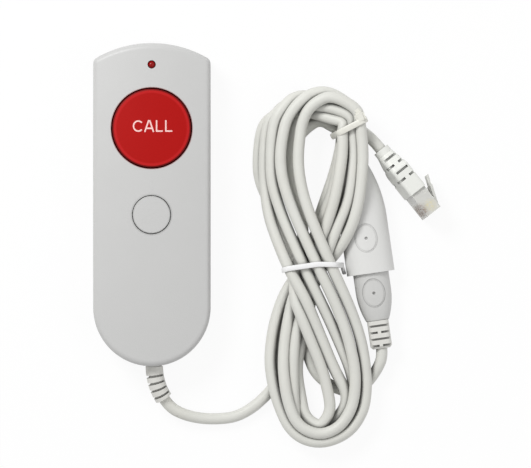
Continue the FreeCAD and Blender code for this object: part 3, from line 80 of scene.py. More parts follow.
# One turn of the coil, as places along it. Each has the outermost or innermost strand's place, the
# heading across the bundle in degrees, then, for the five turns of the handset's lead and the turn of
# the wall lead, how far across the strand lies and the layer it starts from before the coil settles
TURN = [
    ((47.0, -65.5), -6, (2.9, 0.0, 5.5, 9.6, 7.5, 10.4), (0.0, 1.0, 1.0, 1.0, 0.0, 0.2)),
    ((47.4, -56.0), -8, (2.9, 0.0, 5.5, 9.5, 7.5, 11.6), (0.0, 1.0, 1.0, 1.0, 0.0, 0.2)),
    ((49.4, -45.8), -12, (2.9, 0.0, 5.2, 9.0, 7.3, 12.2), (0.0, 1.0, 1.0, 1.0, 0.0, 0.2)),
    ((53.0, -35.2), -16, (3.6, 0.4, 4.6, 8.4, 7.2, 10.6), (0.0, 1.0, 1.0, 0.9, 0.2, 0.0)),
    ((57.8, -25.0), -18, (7.4, 3.2, 4.6, 8.2, 6.8, 7.2), (0.5, 1.0, 1.2, 1.0, 0.6, 0.0)),
    ((61.8, -16.2), -16, (11.8, 1.6, 5.6, 8.8, 4.8, 3.4), (0.9, 1.0, 0.4, 1.4, 1.4, 0.0)),
    ((65.4, -7.6), -10, (14.3, 2.2, 5.4, 8.9, 4.6, 0.6), (2.4, 1.0, 0.0, 2.2, 2.1, 0.0)),
    ((69.0, 1.6), -4, (13.7, 2.4, 4.4, 9.6, 4.1, 0.2), (3.5, 1.1, 0.0, 2.7, 2.3, 0.0)),
    ((72.0, 10.6), -3, (11.8, 2.2, 4.2, 7.7, 2.9, 0.4), (3.5, 1.1, 0.0, 2.2, 2.3, 0.0)),
    ((75.4, 20.6), 3, (9.0, 1.4, 3.6, 5.2, 0.9, -0.2), (3.2, 1.1, 0.0, 1.9, 2.3, 0.0)),
    ((76.3, 29.5), 27, (6.9, 2.8, 4.4, 4.1, 0.6, 0.6), (3.0, 1.1, 0.0, 1.9, 2.3, 0.0)),
    ((77.9, 32.9), 52, (7.0, 6.4, 5.4, 3.4, 0.5, 1.4), (2.8, 1.1, 0.2, 2.0, 2.2, 0.0)),
    ((72.1, 33.9), 92, (10.2, 11.4, 9.0, 4.9, 0.6, 4.2), (2.6, 1.4, 0.2, 1.8, 2.0, 0.0)),
    ((69.5, 32.0), 112, (10.0, 14.1, 12.0, 7.9, 4.8, 6.0), (2.7, 1.8, 0.5, 1.5, 1.6, 0.0)),
    ((62.6, 37.4), 137, (0.6, 5.4, 7.4, 4.2, 2.2, 2.6), (2.6, 2.2, 1.3, 0.9, 0.7, 0.0)),
    ((60.5, 33.5), 152, (0.2, 6.2, 9.6, 10.0, 9.4, 3.2), (2.5, 2.5, 1.8, 0.9, 0.0, 0.0)),
    ((59.4, 30.0), 165, (0.0, 6.8, 11.4, 13.6, 14.8, 4.0), (2.4, 2.7, 1.9, 0.9, 0.0, 0.0)),
    ((58.2, 19.0), 178, (0.0, 7.3, 10.8, 13.4, 16.0, 4.3), (2.2, 2.9, 2.1, 1.1, 0.0, 0.0)),
    ((59.2, 8.5), 180, (0.0, 6.9, 11.5, 14.1, 16.4, 4.4), (2.2, 2.8, 2.1, 1.1, 0.0, 0.0)),
    ((62.6, -3.0), 184, (0.0, 5.8, 10.9, 16.2, 12.6, 3.0), (2.4, 2.6, 2.1, 1.6, 0.0, 0.4)),
    ((67.1, -13.4), 184, (0.0, 5.6, 11.0, 17.0, 12.2, 6.0), (3.0, 2.9, 2.8, 2.6, 1.2, 1.4)),
    ((71.7, -24.6), 185, (0.0, 5.1, 10.5, 17.0, 13.0, 14.2), (3.3, 3.3, 3.3, 3.3, 2.0, 2.0)),
    ((77.2, -36.6), 182, (0.0, 4.9, 10.6, 16.3, 17.6, 20.3), (1.6, 1.9, 2.0, 2.0, 0.9, 1.9)),
    ((80.3, -44.0), 181, (0.0, 5.0, 10.2, 16.3, 20.0, 20.7), (1.0, 1.2, 1.2, 1.3, 0.2, 1.4)),
    ((83.7, -54.0), 180, (0.0, 4.9, 9.2, 15.7, 22.7, 20.3), (1.0, 1.1, 0.8, 0.8, 0.0, 1.1)),
    ((85.7, -66.0), 180, (0.0, 4.3, 6.0, 12.8, 22.7, 17.4), (1.4, 1.3, 0.4, 0.5, 0.0, 0.7)),
    ((85.9, -76.0), 180, (0.0, 4.7, 5.4, 6.4, 22.7, 15.2), (1.5, 1.3, 0.5, 0.0, 0.0, 0.6)),
    ((84.2, -84.0), 170, (0.0, 4.9, 4.0, 7.0, 22.7, 12.8), (1.2, 1.1, 0.0, 0.0, 0.0, 2.2)),
    ((78.3, -92.0), 148, (0.0, 4.4, 2.9, 8.4, 22.7, 10.4), (1.0, 0.9, 0.0, 0.0, 0.0, 3.4)),
    ((66.9, -96.0), 92, (0.0, 3.4, 2.6, 6.8, 22.7, 6.8), (1.0, 0.8, 0.0, 0.0, 0.0, 3.6)),
    ((56.0, -91.8), 55, (0.0, 3.7, 2.8, 5.4, 22.7, 8.2), (1.0, 0.9, 0.0, 0.0, 0.0, 3.2)),
    ((49.9, -79.0), 6, (0.0, 4.4, 7.0, 5.8, 22.7, 9.4), (1.0, 1.0, 0.9, 0.0, 0.0, 2.0)),
]
LAYER = 3.3
WALL_TURN = 5
CREST_FIRST = 11
LAST_LEG = 25

# Word on the call button: letters as strokes, in millimetres from the word's lower left corner
WORD_PLACE = (-7.54, 28.95)
LETTER_C = (2.25, 2.35, 1.9, 2.0, 42)
LETTER_STROKES = [
    [(4.85, 0.0), (6.43, 4.70)],
    [(6.77, 4.70), (8.35, 0.0)],
    [(5.45, 1.45), (7.75, 1.45)],
    [(9.55, 4.70), (9.55, 0.35), (12.03, 0.35)],
    [(13.23, 4.70), (13.23, 0.35), (15.81, 0.35)],
]
CALL_PLACE = 0.0305
LOWER_PLACE = -0.004
CAP_TOP = 20.3
CROWN_ACROSS = 110.3
CROWN_ALONG = 900.3


def linear(red, green, blue):
    """The linear colour of a screen colour given from 0 to 255."""
    def channel(value):
        share = value / 255
        return share / 12.92 if share <= 0.04045 else ((share + 0.055) / 1.055) ** 2.4
    return channel(red), channel(green), channel(blue)


# Settings


class LeadSettings(bpy.types.PropertyGroup):
    """The two leads and their ties."""

    diameter: bpy.props.FloatProperty(
        name="Diameter", description="Outside diameter of the lead", default=0.0046, unit="LENGTH")
    handset_length: bpy.props.FloatProperty(
        name="Handset lead", description="Length from the handset to the breakaway plug", default=1.61,
        unit="LENGTH")
    wall_length: bpy.props.FloatProperty(
        name="Wall lead", description="Length from the breakaway socket to the modular plug", default=0.38,
        unit="LENGTH")
    jacket: bpy.props.FloatVectorProperty(
        name="Jacket", description="Colour of the lead's jacket", default=linear(211, 211, 205),
        subtype="COLOR", size=3, min=0, max=1)
    tie: bpy.props.FloatVectorProperty(
        name="Tie", description="Colour of the twisted tie", default=linear(232, 232, 232),
        subtype="COLOR", size=3, min=0, max=1)


class HandsetSettings(bpy.types.PropertyGroup):
    """The handset's case and buttons."""

    case: bpy.props.FloatVectorProperty(
        name="Case", description="Colour of the case", default=linear(192, 192, 191),
        subtype="COLOR", size=3, min=0, max=1)
    button: bpy.props.FloatVectorProperty(
        name="Call button", description="Colour of the call button", default=linear(167, 15, 13),
        subtype="COLOR", size=3, min=0, max=1)
    lamp: bpy.props.FloatVectorProperty(
        name="Lamp", description="Colour of the unlit lamp", default=linear(140, 10, 8),
        subtype="COLOR", size=3, min=0, max=1)
    word: bpy.props.FloatVectorProperty(
        name="Word", description="Colour of the word on the call button", default=linear(238, 196, 192),
        subtype="COLOR", size=3, min=0, max=1)
    letter_stroke: bpy.props.FloatProperty(
        name="Stroke", description="Width of the letters' strokes", default=0.00058, unit="LENGTH")


class StageSettings(bpy.types.PropertyGroup):
    """Camera, lights and floor."""

    view_width: bpy.props.FloatProperty(
        name="View width", description="Width of the camera's view at the object", default=0.2124,
        unit="LENGTH")
    focal_length: bpy.props.FloatProperty(
        name="Focal length", description="Focal length in millimetres", default=400.0)
    key_power: bpy.props.FloatProperty(
        name="Key light", description="Power of the large lamp at the upper left", default=8.1, unit="POWER")
    sky_strength: bpy.props.FloatProperty(
        name="Sky", description="Strength of the even light all round", default=0.56)


class CallCordSettings(bpy.types.PropertyGroup):
    """All settings of the call cord."""

    leads: bpy.props.PointerProperty(type=LeadSettings)
    handset: bpy.props.PointerProperty(type=HandsetSettings)
    stage: bpy.props.PointerProperty(type=StageSettings)


# Materials


class Value:
    """A shader node's output that takes part in sums; each sum adds its Math node."""

    def __init__(self, finish, socket):
        self.finish = finish
        self.socket = socket

    def sum(self, operation, *terms):
        return self.finish.node("ShaderNodeMath", {"operation": operation}, dict(enumerate(terms)))

    def __add__(self, other):
        return self.sum("ADD", self, other)

    def __sub__(self, other):
        return self.sum("SUBTRACT", self, other)

    def __rsub__(self, other):
        return self.sum("SUBTRACT", other, self)

    def __mul__(self, other):
        return self.sum("MULTIPLY", self, other)

    def __truediv__(self, other):
        return self.sum("DIVIDE", self, other)

    def __pow__(self, other):
        return self.sum("POWER", self, other)

    __radd__ = __add__
    __rmul__ = __mul__

    def step(self, low, high):
        """From 0 at low to 1 at high, smoothly."""
        settings = {"interpolation_type": "SMOOTHSTEP"}
        return self.finish.node("ShaderNodeMapRange", settings, {0: self, 1: low, 2: high, 3: 0.0, 4: 1.0})


class Finish:
    """A material while its nodes are made, with the Principled shader that they end in."""

    def __init__(self, name, **constants):
        self.material = bpy.data.materials.new(name)
        self.material.use_nodes = True
        self.tree = self.material.node_tree
        self.shader = self.tree.nodes["Principled BSDF"]
        for key, value in constants.items():
            self.feed(self.shader.inputs[key.replace("_", " ")], value)

    def feed(self, socket, value):
        if isinstance(value, Value):
            self.tree.links.new(value.socket, socket)
        elif socket.type == "RGBA":
            socket.default_value = (*value[:3], 1.0)
        else:
            socket.default_value = value

    def node(self, kind, settings=None, inputs=None, output=0):
        """A node of a type, with its settings made first, then its sockets' values or links."""
        node = self.tree.nodes.new(kind)
        for key, value in (settings or {}).items():
            if key == "stops":
                self.set_stops(node.color_ramp, value)
            else:
                setattr(node, key, value)
        for key, value in (inputs or {}).items():
            self.feed(node.inputs[key], value)
        return Value(self, node.outputs[output])

    @staticmethod
    def set_stops(ramp, stops):
        while len(ramp.elements) < len(stops):
            ramp.elements.new(0.5)
        for element, (position, colour) in zip(ramp.elements, stops):
            element.position = position
            element.color = (*colour[:3], 1.0)

    def place(self):
        """Position on the object, in metres."""
        return self.node("ShaderNodeTexCoord", output="Object")

    def noise(self, size, detail=2.0, stretch=None):
        """Even noise whose grains are about size metres across."""
        where = self.place()
        if stretch:
            where = self.node("ShaderNodeVectorMath", {"operation": "MULTIPLY"}, {0: where, 1: stretch})
        inputs = {"Vector": where, "Scale": 1 / size, "Detail": detail}
        return self.node("ShaderNodeTexNoise", {"noise_dimensions": "3D"}, inputs)

    def hollow(self, reach):
        """1 deep between close surfaces and 0 in the open; the mask of the painted shade in hollows."""
        inputs = {"Distance": reach}
        openness = self.node("ShaderNodeAmbientOcclusion", {"samples": 8}, inputs, output=1)
        return 1 - openness.step(0.25, 0.85)

    def distance_from(self, x, y):
        """Distance in plan from a place, in metres."""
        parts = self.node("ShaderNodeSeparateXYZ", {}, {0: self.place()})
        across = parts - x
        along = Value(self, parts.socket.node.outputs[1]) - y
        return (across * across + along * along) ** 0.5

    def height(self):
        """Height on the object, in metres."""
        parts = self.node("ShaderNodeSeparateXYZ", {}, {0: self.place()})
        return Value(self, parts.socket.node.outputs[2])

    def mix(self, share, first, second):
        """A colour between two colours."""
        return self.node("ShaderNodeMix", {"data_type": "RGBA"}, {0: share, 6: first, 7: second}, output=2)

    def bump(self, height, distance, strength=1.0, under=None):
        """A normal from a height in shares of a distance in metres."""
        inputs = {"Height": height, "Distance": distance, "Strength": strength}
        if under:
            inputs["Normal"] = under
        return self.node("ShaderNodeBump", {}, inputs)

    def show(self, **sockets):
        for key, value in sockets.items():
            self.feed(self.shader.inputs[key.replace("_", " ")], value)
        return self.material


def tinted(colour, factor):
    return tuple(min(channel * factor, 1.0) for channel in colour[:3])


def moulded_plastic(name, colour, roughness, grain, grain_depth, mottle=0.03, shade=None, painted_shade_reach=0.0):
    """Moulded plastic: fine grain, soft sheen changes, faint handling marks and painted shade in its hollows."""
    finish = Finish(name, IOR=1.46)
    patches = finish.noise(0.018, 3.0)
    fine = finish.noise(grain, 2.0)
    specks = finish.noise(grain * 3, 4.0).step(0.66, 0.74)
    base = finish.mix(patches, tinted(colour, 1 - mottle), tinted(colour, 1 + mottle))
    base = finish.mix(specks * 0.06, base, tinted(colour, 0.72))
    if shade:
        base = shade(finish, base)
    # Painted shade: the colour darkens where surfaces close in, found by ambient occlusion.
    if painted_shade_reach:
        base = finish.mix(finish.hollow(painted_shade_reach), base, tinted(colour, 0.27))
    waves = finish.bump(patches, 0.00006, 0.5)
    return finish.show(
        Base_Color=base, Roughness=roughness + (patches - 0.5) * 0.10 + (fine - 0.5) * 0.12,
        Normal=finish.bump(fine, grain_depth, 1.0, waves))


def cord_jacket(colour):
    """Soft jacket of the lead, faintly uneven along its length, with painted shade where strands press together."""
    finish = Finish("lead jacket", IOR=1.47, Specular_IOR_Level=0.35)
    uneven = finish.noise(0.006, 3.0)
    fine = finish.noise(0.0005, 3.0)
    smudges = finish.noise(0.022, 4.0).step(0.52, 0.72)
    base = finish.mix(uneven, tinted(colour, 0.97), tinted(colour, 1.03))
    base = finish.mix(smudges * 0.14, base, linear(204, 200, 188))
    # Painted shade: darker where strands lie close together, found by ambient occlusion.
    base = finish.mix(finish.hollow(0.0035) * 0.80, base, tinted(colour, 0.30))
    return finish.show(
        Base_Color=base, Roughness=0.46 + (uneven - 0.5) * 0.12 + smudges * 0.05,
        Normal=finish.bump(fine * 0.5 + uneven, 0.00006, 0.6))


def tie_paper(colour):
    """Paper of the twisted tie, with its wire's faint ridge."""
    finish = Finish("tie paper", IOR=1.45)
    fibre = finish.noise(0.0004, 4.0)
    base = finish.mix(fibre, tinted(colour, 0.96), tinted(colour, 1.03))
    return finish.show(
        Base_Color=base, Roughness=0.55 + (fibre - 0.5) * 0.2, Normal=finish.bump(fibre, 0.00004, 0.7))


def nylon():
    """Milky clear nylon."""
    finish = Finish("clear nylon", IOR=1.5, Transmission_Weight=0.12)
    flow = finish.noise(0.002, 2.0)
    base = finish.mix(flow, linear(226, 225, 216), linear(240, 239, 230))
    return finish.show(
        Base_Color=base, Roughness=0.32 + (flow - 0.5) * 0.1, Normal=finish.bump(flow, 0.0001, 0.4))


def metal(name, colour, roughness):
    finish = Finish(name, Metallic=1.0)
    brushed = finish.noise(0.0006, 3.0, (1.0, 0.12, 1.0))
    base = finish.mix(brushed, tinted(colour, 0.88), tinted(colour, 1.06))
    return finish.show(
        Base_Color=base, Roughness=roughness + (brushed - 0.5) * 0.2, Normal=finish.bump(brushed, 0.00002, 0.5))


def clear_plug(colour, roughness, transmission):
    """Clear moulded plug, with the cores and the contacts' place showing through it."""
    finish = Finish("clear plug", IOR=1.52, Transmission_Weight=transmission)
    flow = finish.noise(0.003, 2.0)
    base = finish.mix(flow, tinted(colour, 0.96), tinted(colour, 1.03))
    streaks = finish.noise(0.0012, 3.0, (1.0, 2.2, 1.0)).step(0.40, 0.62)
    cores = finish.distance_from(0.1076, -0.0026).step(0.0042, 0.0008)
    base = finish.mix(cores * (0.35 + streaks * 0.6), base, linear(146, 126, 114))
    sheen = finish.distance_from(0.1112, -0.0002).step(0.0034, 0.0006)
    base = finish.mix(sheen * (0.3 + streaks * 0.6), base, linear(232, 224, 188))
    return finish.show(
        Base_Color=base, Roughness=roughness + (flow - 0.5) * 0.08, Normal=finish.bump(flow, 0.0001, 0.35))


def dress(node, *materials):
    """A CAD node's material slots, each given its finish."""
    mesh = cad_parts[node].data
    if not mesh.materials:
        mesh.materials.append(None)
    for index in range(len(mesh.materials)):
        mesh.materials[index] = materials[min(index, len(materials) - 1)]


# Leads


def basis(count, steps):
    """Shares of a quadratic spline's control points in samples taken along it."""
    rows = []
    for span in range(1, count - 1):
        for step in range(steps):
            at = step / steps
            row = np.zeros(count)
            row[span - 1:span + 2] = (1 - at) ** 2 / 2, 0.5 + at - at ** 2, at ** 2 / 2
            rows.append(row)
    return np.array(rows)


def turn_points(turn, first, last):
    """Control points of one turn of the coil, between two of its places."""
    points = []
    for (x, y), heading, offsets, layers in TURN[first:last]:
        across = math.radians(heading)
        offset = offsets[turn]
        points.append((x + offset * math.cos(across), y + offset * math.sin(across), 2.3 + LAYER * layers[turn]))
    return points


def handset_lead_points():
    points = list(HANDSET_ROUTE)
    for turn in range(WALL_TURN):
        points += turn_points(turn, 0, LAST_LEG if turn == WALL_TURN - 1 else len(TURN))
    return points + PLUG_ROUTE


def wall_lead_points():
    points = SOCKET_ROUTE + turn_points(WALL_TURN, CREST_FIRST, len(TURN))
    return points + turn_points(WALL_TURN, 0, CREST_FIRST) + WALL_ROUTE


def bed_height(samples, radius):
    """Height at which a strand lies on the table or on the breakaway socket."""
    x = samples[:, 0] - SOCKET_PLACE[0]
    y = samples[:, 1] - SOCKET_PLACE[1]
    along = y * math.cos(SOCKET_TURN) - x * math.sin(SOCKET_TURN)
    across = x * math.cos(SOCKET_TURN) + y * math.sin(SOCKET_TURN)
    run = np.clip(along - SOCKET_STRAIGHT, 0, SOCKET_TAPER)
    half = SOCKET_HALF_WIDTH - SOCKET_TAPER + np.sqrt(SOCKET_TAPER ** 2 - run ** 2) + radius
    beside = (samples[:, 2] < 4.6) & (np.abs(across) > 0.8 * half)
    inside = (np.abs(across) < half) & (along > -radius) & (along < SOCKET_LENGTH) & ~beside
    oval = np.sqrt(np.clip(1 - (across / half) ** 2, 0, 1))
    return np.where(inside, SOCKET_HALF_HEIGHT + half / (SOCKET_HALF_WIDTH + radius)
                    * (SOCKET_HALF_HEIGHT + radius) * oval, radius)


def settled(leads, held, radius, rounds=300):
    """The leads' control points after their strands have sunk onto each other and the table."""
    steps = 3
    counts = [len(points) for points in leads]
    start = np.vstack([np.array(points, dtype=float) for points in leads])
    points = start.copy()
    free = np.ones(len(points))
    shares = np.zeros((sum((count - 2) * steps for count in counts), len(points)))
    lead_of = []
    row = column = 0
    for count, (head, tail) in zip(counts, held):
        block = basis(count, steps)
        shares[row:row + len(block), column:column + count] = block
        free[column:column + head] = 0
        free[column + count - tail:column + count] = 0
        lead_of += [column] * len(block)
        row += len(block)
        column += count
    free = free[:, None]
    lead_of = np.array(lead_of)
    order = np.arange(len(shares))
    near = (np.abs(order[:, None] - order[None, :]) <= steps * 1.5) & (lead_of[:, None] == lead_of[None, :])
    total = shares.sum(axis=0)[:, None] + 0.01
    ends = np.unique(np.concatenate([np.cumsum(counts) - 1, np.cumsum([0] + counts[:-1])]))
    gap = 1.74 * radius
    stacked = (start[:, 0] < 56) & (start[:, 1] > -6)
    spanning = (start[:, 0] > 80.5) & (start[:, 1] > -8) & (start[:, 1] < 30)
    grip = np.where(stacked | spanning, 0.08, 0.0)
    for index in range(rounds):
        calm = index / rounds
        samples = shares @ points
        apart = samples[:, None, :] - samples[None, :, :]
        flat = apart * (0.45, 0.45, 1.0)
        distance = np.linalg.norm(apart, axis=2)
        depth = np.where(near, 0, np.clip(gap - distance, 0, None))
        length = np.linalg.norm(flat, axis=2) + 1e-6
        push = (flat / length[:, :, None] * depth[:, :, None]).sum(axis=1)
        touching = (depth > 0).sum(axis=1)[:, None]
        push = push / np.maximum(touching, 1) ** 0.5 * 0.5
        low = bed_height(samples, radius)
        push[:, 2] += np.clip(low - samples[:, 2], 0, None) * 0.8
        push[:, 2] -= 0.10 * (1 - calm)
        points += free * (shares.T @ push) / total * 1.4
        bend = np.zeros_like(points)
        bend[1:-1] = (points[:-2] + points[2:]) / 2 - points[1:-1]
        bend[ends] = 0
        pull = (start - points) * (0.10, 0.10, 0.0)
        pull[:, 2] += (start - points)[:, 2] * grip
        points += free * (bend * (0.005, 0.005, 0.18) + pull)
        points[:, 2] = np.maximum(points[:, 2], np.where(free[:, 0] > 0, radius, points[:, 2]))
    cuts = np.cumsum(counts)[:-1]
    return np.split(points, cuts)


def lead_curve(name, points, diameter, material):
    """A round lead along a smooth line."""
    curve = bpy.data.curves.new(name, "CURVE")
    curve.dimensions = "3D"
    curve.bevel_depth = diameter / 2
    curve.bevel_resolution = 5
    curve.resolution_u = 6
    curve.use_fill_caps = True
    spline = curve.splines.new("NURBS")
    spline.points.add(len(points) - 1)
    for control, point in zip(spline.points, points):
        control.co = (*[value * MM for value in point], 1.0)
    spline.order_u = 3
    spline.use_endpoint_u = True
    curve.materials.append(material)
    piece = bpy.data.objects.new(name, curve)
    bpy.context.scene.collection.objects.link(piece)
    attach(piece, "handset")
    return piece


def line_places(piece):
    """Points along a lead's own line, in metres."""
    plain = piece.data.copy()
    plain.bevel_depth = 0
    holder = bpy.data.objects.new("measure", plain)
    bpy.context.scene.collection.objects.link(holder)
    bpy.context.view_layer.update()
    mesh = bpy.data.meshes.new_from_object(holder.evaluated_get(bpy.context.evaluated_depsgraph_get()))
    places = [vertex.co.copy() for vertex in mesh.vertices]
    bpy.data.objects.remove(holder)
    bpy.data.curves.remove(plain)
    bpy.data.meshes.remove(mesh)
    return places


def sweep(form, rings, closed):
    """A skin over rings of points, closed into a loop or capped."""
    rows = [[form.verts.new(point) for point in ring] for ring in rings]
    pairs = list(zip(rows, rows[1:]))
    if closed:
        pairs.append((rows[-1], rows[0]))
    for before, after in pairs:
        for index in range(len(before)):
            following = (index + 1) % len(before)
            form.faces.new((before[index], before[following], after[following], after[index]))
    if not closed:
        form.faces.new(reversed(rows[0]))
        form.faces.new(rows[-1])


def piece_of(name, form, material, body):
    """A piece from a finished mesh form."""
    bmesh.ops.recalc_face_normals(form, faces=form.faces)
    mesh = bpy.data.meshes.new(name)
    form.to_mesh(mesh)
    form.free()
    mesh.polygons.foreach_set("use_smooth", [True] * len(mesh.polygons))
    mesh.set_sharp_from_angle(angle=math.radians(40))
    mesh.materials.append(material)
    piece = bpy.data.objects.new(name, mesh)
    bpy.context.scene.collection.objects.link(piece)
    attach(piece, body)
    return piece


def crossings(lines, start, end, margin):
    """Where the leads' lines cross a tie's plane: distance from the tie's start and height."""
    along = (end - start).normalized()
    across = Vector((along.y, -along.x, 0))
    found = []
    for line in lines:
        for before, after in zip(line, line[1:]):
            first, last = (before - start).dot(across), (after - start).dot(across)
            if first * last < 0:
                place = before.lerp(after, first / (first - last))
                distance = (place - start).dot(along)
                if -margin < distance < (end - start).length + margin:
                    found.append((distance, place.z))
    return found


def band(form, lines, start, end, radius, width, thickness, bow, loose):
    """A flat band drawn about the strands that cross it and about a loose end, given by its distance
    along and height. Gives the height of the strands."""
    start, end = Vector((*start, 0)) * MM, Vector((*end, 0)) * MM
    along = (end - start).normalized()
    across = Vector((along.y, -along.x, 0))
    found = crossings(lines, start, end, 1.5 * MM)
    top = max(height for distance, height in found) + radius
    found.append(loose)
    middle = (end - start).length / 2
    rings = []
    for step in range(120):
        turn = math.tau * step / 120
        out = along * math.cos(turn) + Vector((0, 0, math.sin(turn)))
        reach, height = max(found, key=lambda spot: spot[0] * math.cos(turn) + spot[1] * math.sin(turn))
        skin = radius + thickness / 2
        reach += skin * math.cos(turn)
        height = max(height + skin * math.sin(turn), thickness / 2)
        side = bow * (1 - ((reach - middle) / middle) ** 2) * (1 if math.sin(turn) > 0 else 0.3)
        place = start + along * reach + Vector((0, 0, height)) - across * side
        ring = []
        for corner in range(12):
            angle = math.tau * corner / 12
            rise = math.copysign(abs(math.sin(angle)) ** 0.6, math.sin(angle)) * thickness / 2
            spread = math.copysign(abs(math.cos(angle)) ** 0.6, math.cos(angle)) * width / 2
            ring.append(place + out * rise + across * spread)
        rings.append(ring)
    sweep(form, rings, True)
    return top


def thread(form, path, radius, sides=10):
    """A thin round thread along a path."""
    rings = []
    for index, place in enumerate(path):
        ahead = (path[min(index + 1, len(path) - 1)] - path[max(index - 1, 0)]).normalized()
        first = ahead.orthogonal().normalized()
        if rings:
            first = (side - ahead * side.dot(ahead)).normalized()
        side = first
        second = ahead.cross(first)
        rings.append([
            place + (first * math.cos(math.tau * step / sides) + second * math.sin(math.tau * step / sides)) * radius
            for step in range(sides)])
    sweep(form, rings, False)


def block(form, place, turn, size, rounding):
    """A block with rounded edges."""
    made = bmesh.ops.create_cube(form, size=1.0)
    bmesh.ops.scale(form, vec=size, verts=made["verts"])
    edges = list({edge for vertex in made["verts"] for edge in vertex.link_edges})
    made = bmesh.ops.bevel(form, geom=edges, offset=rounding, segments=3, affect="EDGES")
    verts = list({vertex for face in made["faces"] for vertex in face.verts})
    bmesh.ops.rotate(form, cent=(0, 0, 0), matrix=Matrix.Rotation(turn, 3, "Z"), verts=verts)
    bmesh.ops.translate(form, vec=place, verts=verts)


def stroke(form, line, width, height_at, raised):
    """A raised printed stroke along a line on a crowned surface."""
    sides = []
    for index, place in enumerate(line):
        before = line[max(index - 1, 0)]
        after = line[min(index + 1, len(line) - 1)]
        into = (Vector(place) - Vector(before)) if index else Vector(after) - Vector(place)
        out = (Vector(after) - Vector(place)) if index < len(line) - 1 else into
        into, out = into.normalized(), out.normalized()
        mean = (into + out).normalized()
        lean = Vector((-mean.y, mean.x)) * (width / 2 / max(mean.dot(into), 0.35))
        sides.append((Vector(place) + lean, Vector(place) - lean))
    rings = []
    for left, right in sides:
        ring = []
        for spot, lift in ((left, -raised), (left, raised), (right, raised), (right, -raised)):
            ring.append(Vector((spot.x, spot.y, height_at(spot.x, spot.y) + lift)) * MM)
        rings.append(ring)
    sweep(form, rings, False)


def settings_of(context):
    return context.scene.call_cord


class CALLCORD_OT_stage(bpy.types.Operator):
    """Camera, lights and floor"""

    bl_idname = "callcord.stage"
    bl_label = "Stage"

    def execute(self, context):
        stage = settings_of(context).stage
        scene = context.scene
        scene.view_settings.view_transform = "Standard"
        middle = Vector((0.0454, -0.0117, 0.010))
        camera_data = bpy.data.cameras.new("camera")
        camera_data.lens = stage.focal_length
        camera_data.sensor_width = 36.0
        camera = bpy.data.objects.new("camera", camera_data)
        distance = stage.view_width * stage.focal_length / camera_data.sensor_width
        camera.location = middle + Vector((0, 0, distance))
        scene.collection.objects.link(camera)
        scene.camera = camera

        def lamp(name, place, size, power):
            data = bpy.data.lights.new(name, "AREA")
            data.energy = power
            data.shape = "DISK"
            data.size = size
            light = bpy.data.objects.new(name, data)
            light.location = place
            toward = middle - Vector(place)
            light.rotation_euler = toward.to_track_quat("-Z", "Y").to_euler()
            scene.collection.objects.link(light)

        lamp("key lamp", (-0.46, 0.58, 0.82), 0.45, stage.key_power)
        lamp("fill lamp", (0.75, -0.15, 0.80), 0.7, stage.key_power * 0.22)

        world = bpy.data.worlds.new("studio")
        world.use_nodes = True
        background = world.node_tree.nodes["Background"]
        path = world.node_tree.nodes.new("ShaderNodeLightPath")
        mix = world.node_tree.nodes.new("ShaderNodeMix")
        mix.inputs[2].default_value = stage.sky_strength
        mix.inputs[3].default_value = 1.0
        world.node_tree.links.new(path.outputs["Is Camera Ray"], mix.inputs[0])
        world.node_tree.links.new(mix.outputs[0], background.inputs["Strength"])
        background.inputs["Color"].default_value = (1.0, 1.0, 1.0, 1.0)
        scene.world = world

        mesh = bpy.data.meshes.new("floor")
        form = bmesh.new()
        bmesh.ops.create_grid(form, x_segments=2, y_segments=2, size=1.6)
        form.to_mesh(mesh)
        form.free()
        floor = bpy.data.objects.new("floor", mesh)
        scene.collection.objects.link(floor)
        paper = Finish("white paper", Base_Color=(0.86, 0.86, 0.86), Roughness=0.9)
        glow = paper.tree.nodes.new("ShaderNodeEmission")
        glow.inputs["Color"].default_value = (1.0, 1.0, 1.0, 1.0)
        glow.inputs["Strength"].default_value = 1.0
        seen = paper.node("ShaderNodeLightPath", output="Is Camera Ray")
        blend = paper.tree.nodes.new("ShaderNodeMixShader")
        paper.feed(blend.inputs[0], seen * 0.92)
        paper.tree.links.new(paper.shader.outputs[0], blend.inputs[1])
        paper.tree.links.new(glow.outputs[0], blend.inputs[2])
        paper.tree.links.new(blend.outputs[0], paper.tree.nodes["Material Output"].inputs["Surface"])
        mesh.materials.append(paper.material)
        return {"FINISHED"}


